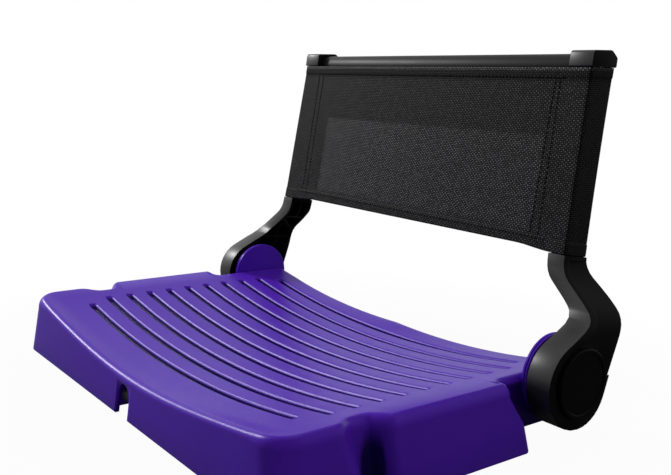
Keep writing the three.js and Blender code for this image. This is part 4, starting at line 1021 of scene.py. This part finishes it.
# Stitching of the pocket. The same bonded thread, one row down each side, one along the foot and one
# along the mouth's hem, which follows the hem's sag in runs of 8 mm.
POCKET_SIDE_ROW, POCKET_SIDE_FOOT, POCKET_SIDE_TOP = 140.6, 147, 218
FOOT_ROW_HALF, FOOT_ROW_Z = 139, 148.2
MOUTH_ROW_HALF, MOUTH_ROW_Z, MOUTH_ROW_SAG, MOUTH_RUN = 136, 209.8, 1.4, 8


def on_pocket(x, z, proud=0.1):
    return Vector((x, pocket_back(x, z) + proud, z))


pocket_thread = bmesh.new()
backward = -toward_sitter
for x in (-POCKET_SIDE_ROW, POCKET_SIDE_ROW):
    stitch_row(pocket_thread, on_pocket(x, POCKET_SIDE_FOOT), on_pocket(x, POCKET_SIDE_TOP), backward)
foot_row = on_pocket(-FOOT_ROW_HALF, FOOT_ROW_Z), on_pocket(FOOT_ROW_HALF, FOOT_ROW_Z)
stitch_row(pocket_thread, *foot_row, backward)
mouth_row = []
for x in range(-MOUTH_ROW_HALF, MOUTH_ROW_HALF + 1, MOUTH_RUN):
    sag = MOUTH_ROW_SAG * (1 - (x / POCKET_HALF) ** 2)
    mouth_row.append(on_pocket(x, MOUTH_ROW_Z - sag, ON_HEM))
for a, b in zip(mouth_row, mouth_row[1:]):
    stitch_row(pocket_thread, a, b, backward)
bmesh.ops.recalc_face_normals(pocket_thread, faces=pocket_thread.faces)
pocket_stitches = piece_from("pocket_stitches", pocket_thread, CLOTH_CREASE)
pocket_stitches.data.materials.append(bonded_thread)
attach(pocket_stitches, "backrest")


# Studio. A pale floor in a pale room. A small bright lamp on the left, ahead of the seat, draws the rims
# and grooves, a soft one overhead lights the deck, and a large one behind on the right lights the arms.
# The room gives the seat a weak even light, and the camera and all reflections see it as plain white.
ROOM_LIGHT, PLAIN_WHITE = 0.24, 1.0
world = bpy.data.worlds.new("room")
scene.world = world
world.use_nodes = True
room = world.node_tree
room.nodes.clear()
rays = node(room, "LightPath")
soft = node(room, "Background", {"Color": linear("#ffffff"), "Strength": ROOM_LIGHT})
seen = node(room, "Background", {"Color": linear("#ffffff"), "Strength": PLAIN_WHITE})
direct = rays.outputs["Is Camera Ray"]
for kind in ("Is Transmission Ray", "Is Glossy Ray"):
    inputs = {0: direct, 1: rays.outputs[kind]}
    direct = node(room, "Math", inputs, operation="MAXIMUM")
both = node(room, "MixShader", {0: direct, 1: soft, 2: seen})
node(room, "OutputWorld", {"Surface": both})

# The lamps: place, width and height in metres, power in watts, and the point that each is aimed at.
for name, place, extent, power, aim in (
    ("key", (-1.4, -0.52, 0.93), (0.22, 0.18), 24, (0, 0, 0.05)),
    ("overhead", (0.15, 0.15, 1.7), (1.1, 0.8), 5, (0, 0, 0)),
    ("fill", (1.5, 1.0, 1.3), (2.2, 1.8), 8, (0, 0, 0.1)),
):
    data = bpy.data.lights.new(name, "AREA")
    data.shape, data.energy = "RECTANGLE", power
    data.size, data.size_y = extent
    lamp = bpy.data.objects.new(name, data)
    lamp.location = place
    lamp.rotation_euler = (Vector(aim) - Vector(place)).to_track_quat("-Z", "Y").to_euler()
    scene.collection.objects.link(lamp)

# The floor: a slab just under the skirt's foot. Its matt grey paint sends a plain light up to the seat.
# The camera sees it white, with 4 percent of the paint's own light near the seat, and so a faint shadow,
# which fades out between 0.2 and 0.55 m.
FLOOR_HALF, FLOOR_TOP, FLOOR_THICK = 3000, -0.4, 11.6
FADE_FROM, FADE_TO, WHITE_NEAR_SEAT = 0.2, 0.55, 0.96
floor_mesh = bmesh.new()
slab = bmesh.ops.create_cube(floor_mesh, size=1)["verts"]
bmesh.ops.scale(floor_mesh, vec=(2 * FLOOR_HALF, 2 * FLOOR_HALF, FLOOR_THICK), verts=slab)
bmesh.ops.translate(floor_mesh, vec=(0, 0, FLOOR_TOP - FLOOR_THICK / 2), verts=slab)
floor = piece_from("floor", floor_mesh)
floor_paint, floor_tree = material("matt painted floor")
seen_by = node(floor_tree, "LightPath").outputs["Is Camera Ray"]
spot = node(floor_tree, "TexCoord").outputs["Object"]
distance = node(floor_tree, "VectorMath", {0: spot}, operation="LENGTH").outputs["Value"]
near = {"Value": distance, "From Min": FADE_FROM, "From Max": FADE_TO, "To Min": WHITE_NEAR_SEAT}
fade = node(floor_tree, "MapRange", near, interpolation_type="SMOOTHSTEP")
direct = node(floor_tree, "Math", {0: seen_by, 1: fade}, operation="MULTIPLY")
lit = node(floor_tree, "BsdfDiffuse", {"Color": linear("#9a9a9a")})
bright = node(floor_tree, "Emission", {"Color": linear("#ffffff"), "Strength": PLAIN_WHITE})
mixed = node(floor_tree, "MixShader", {0: direct, 1: lit, 2: bright})
node(floor_tree, "OutputMaterial", {"Surface": mixed})
floor.data.materials.append(floor_paint)
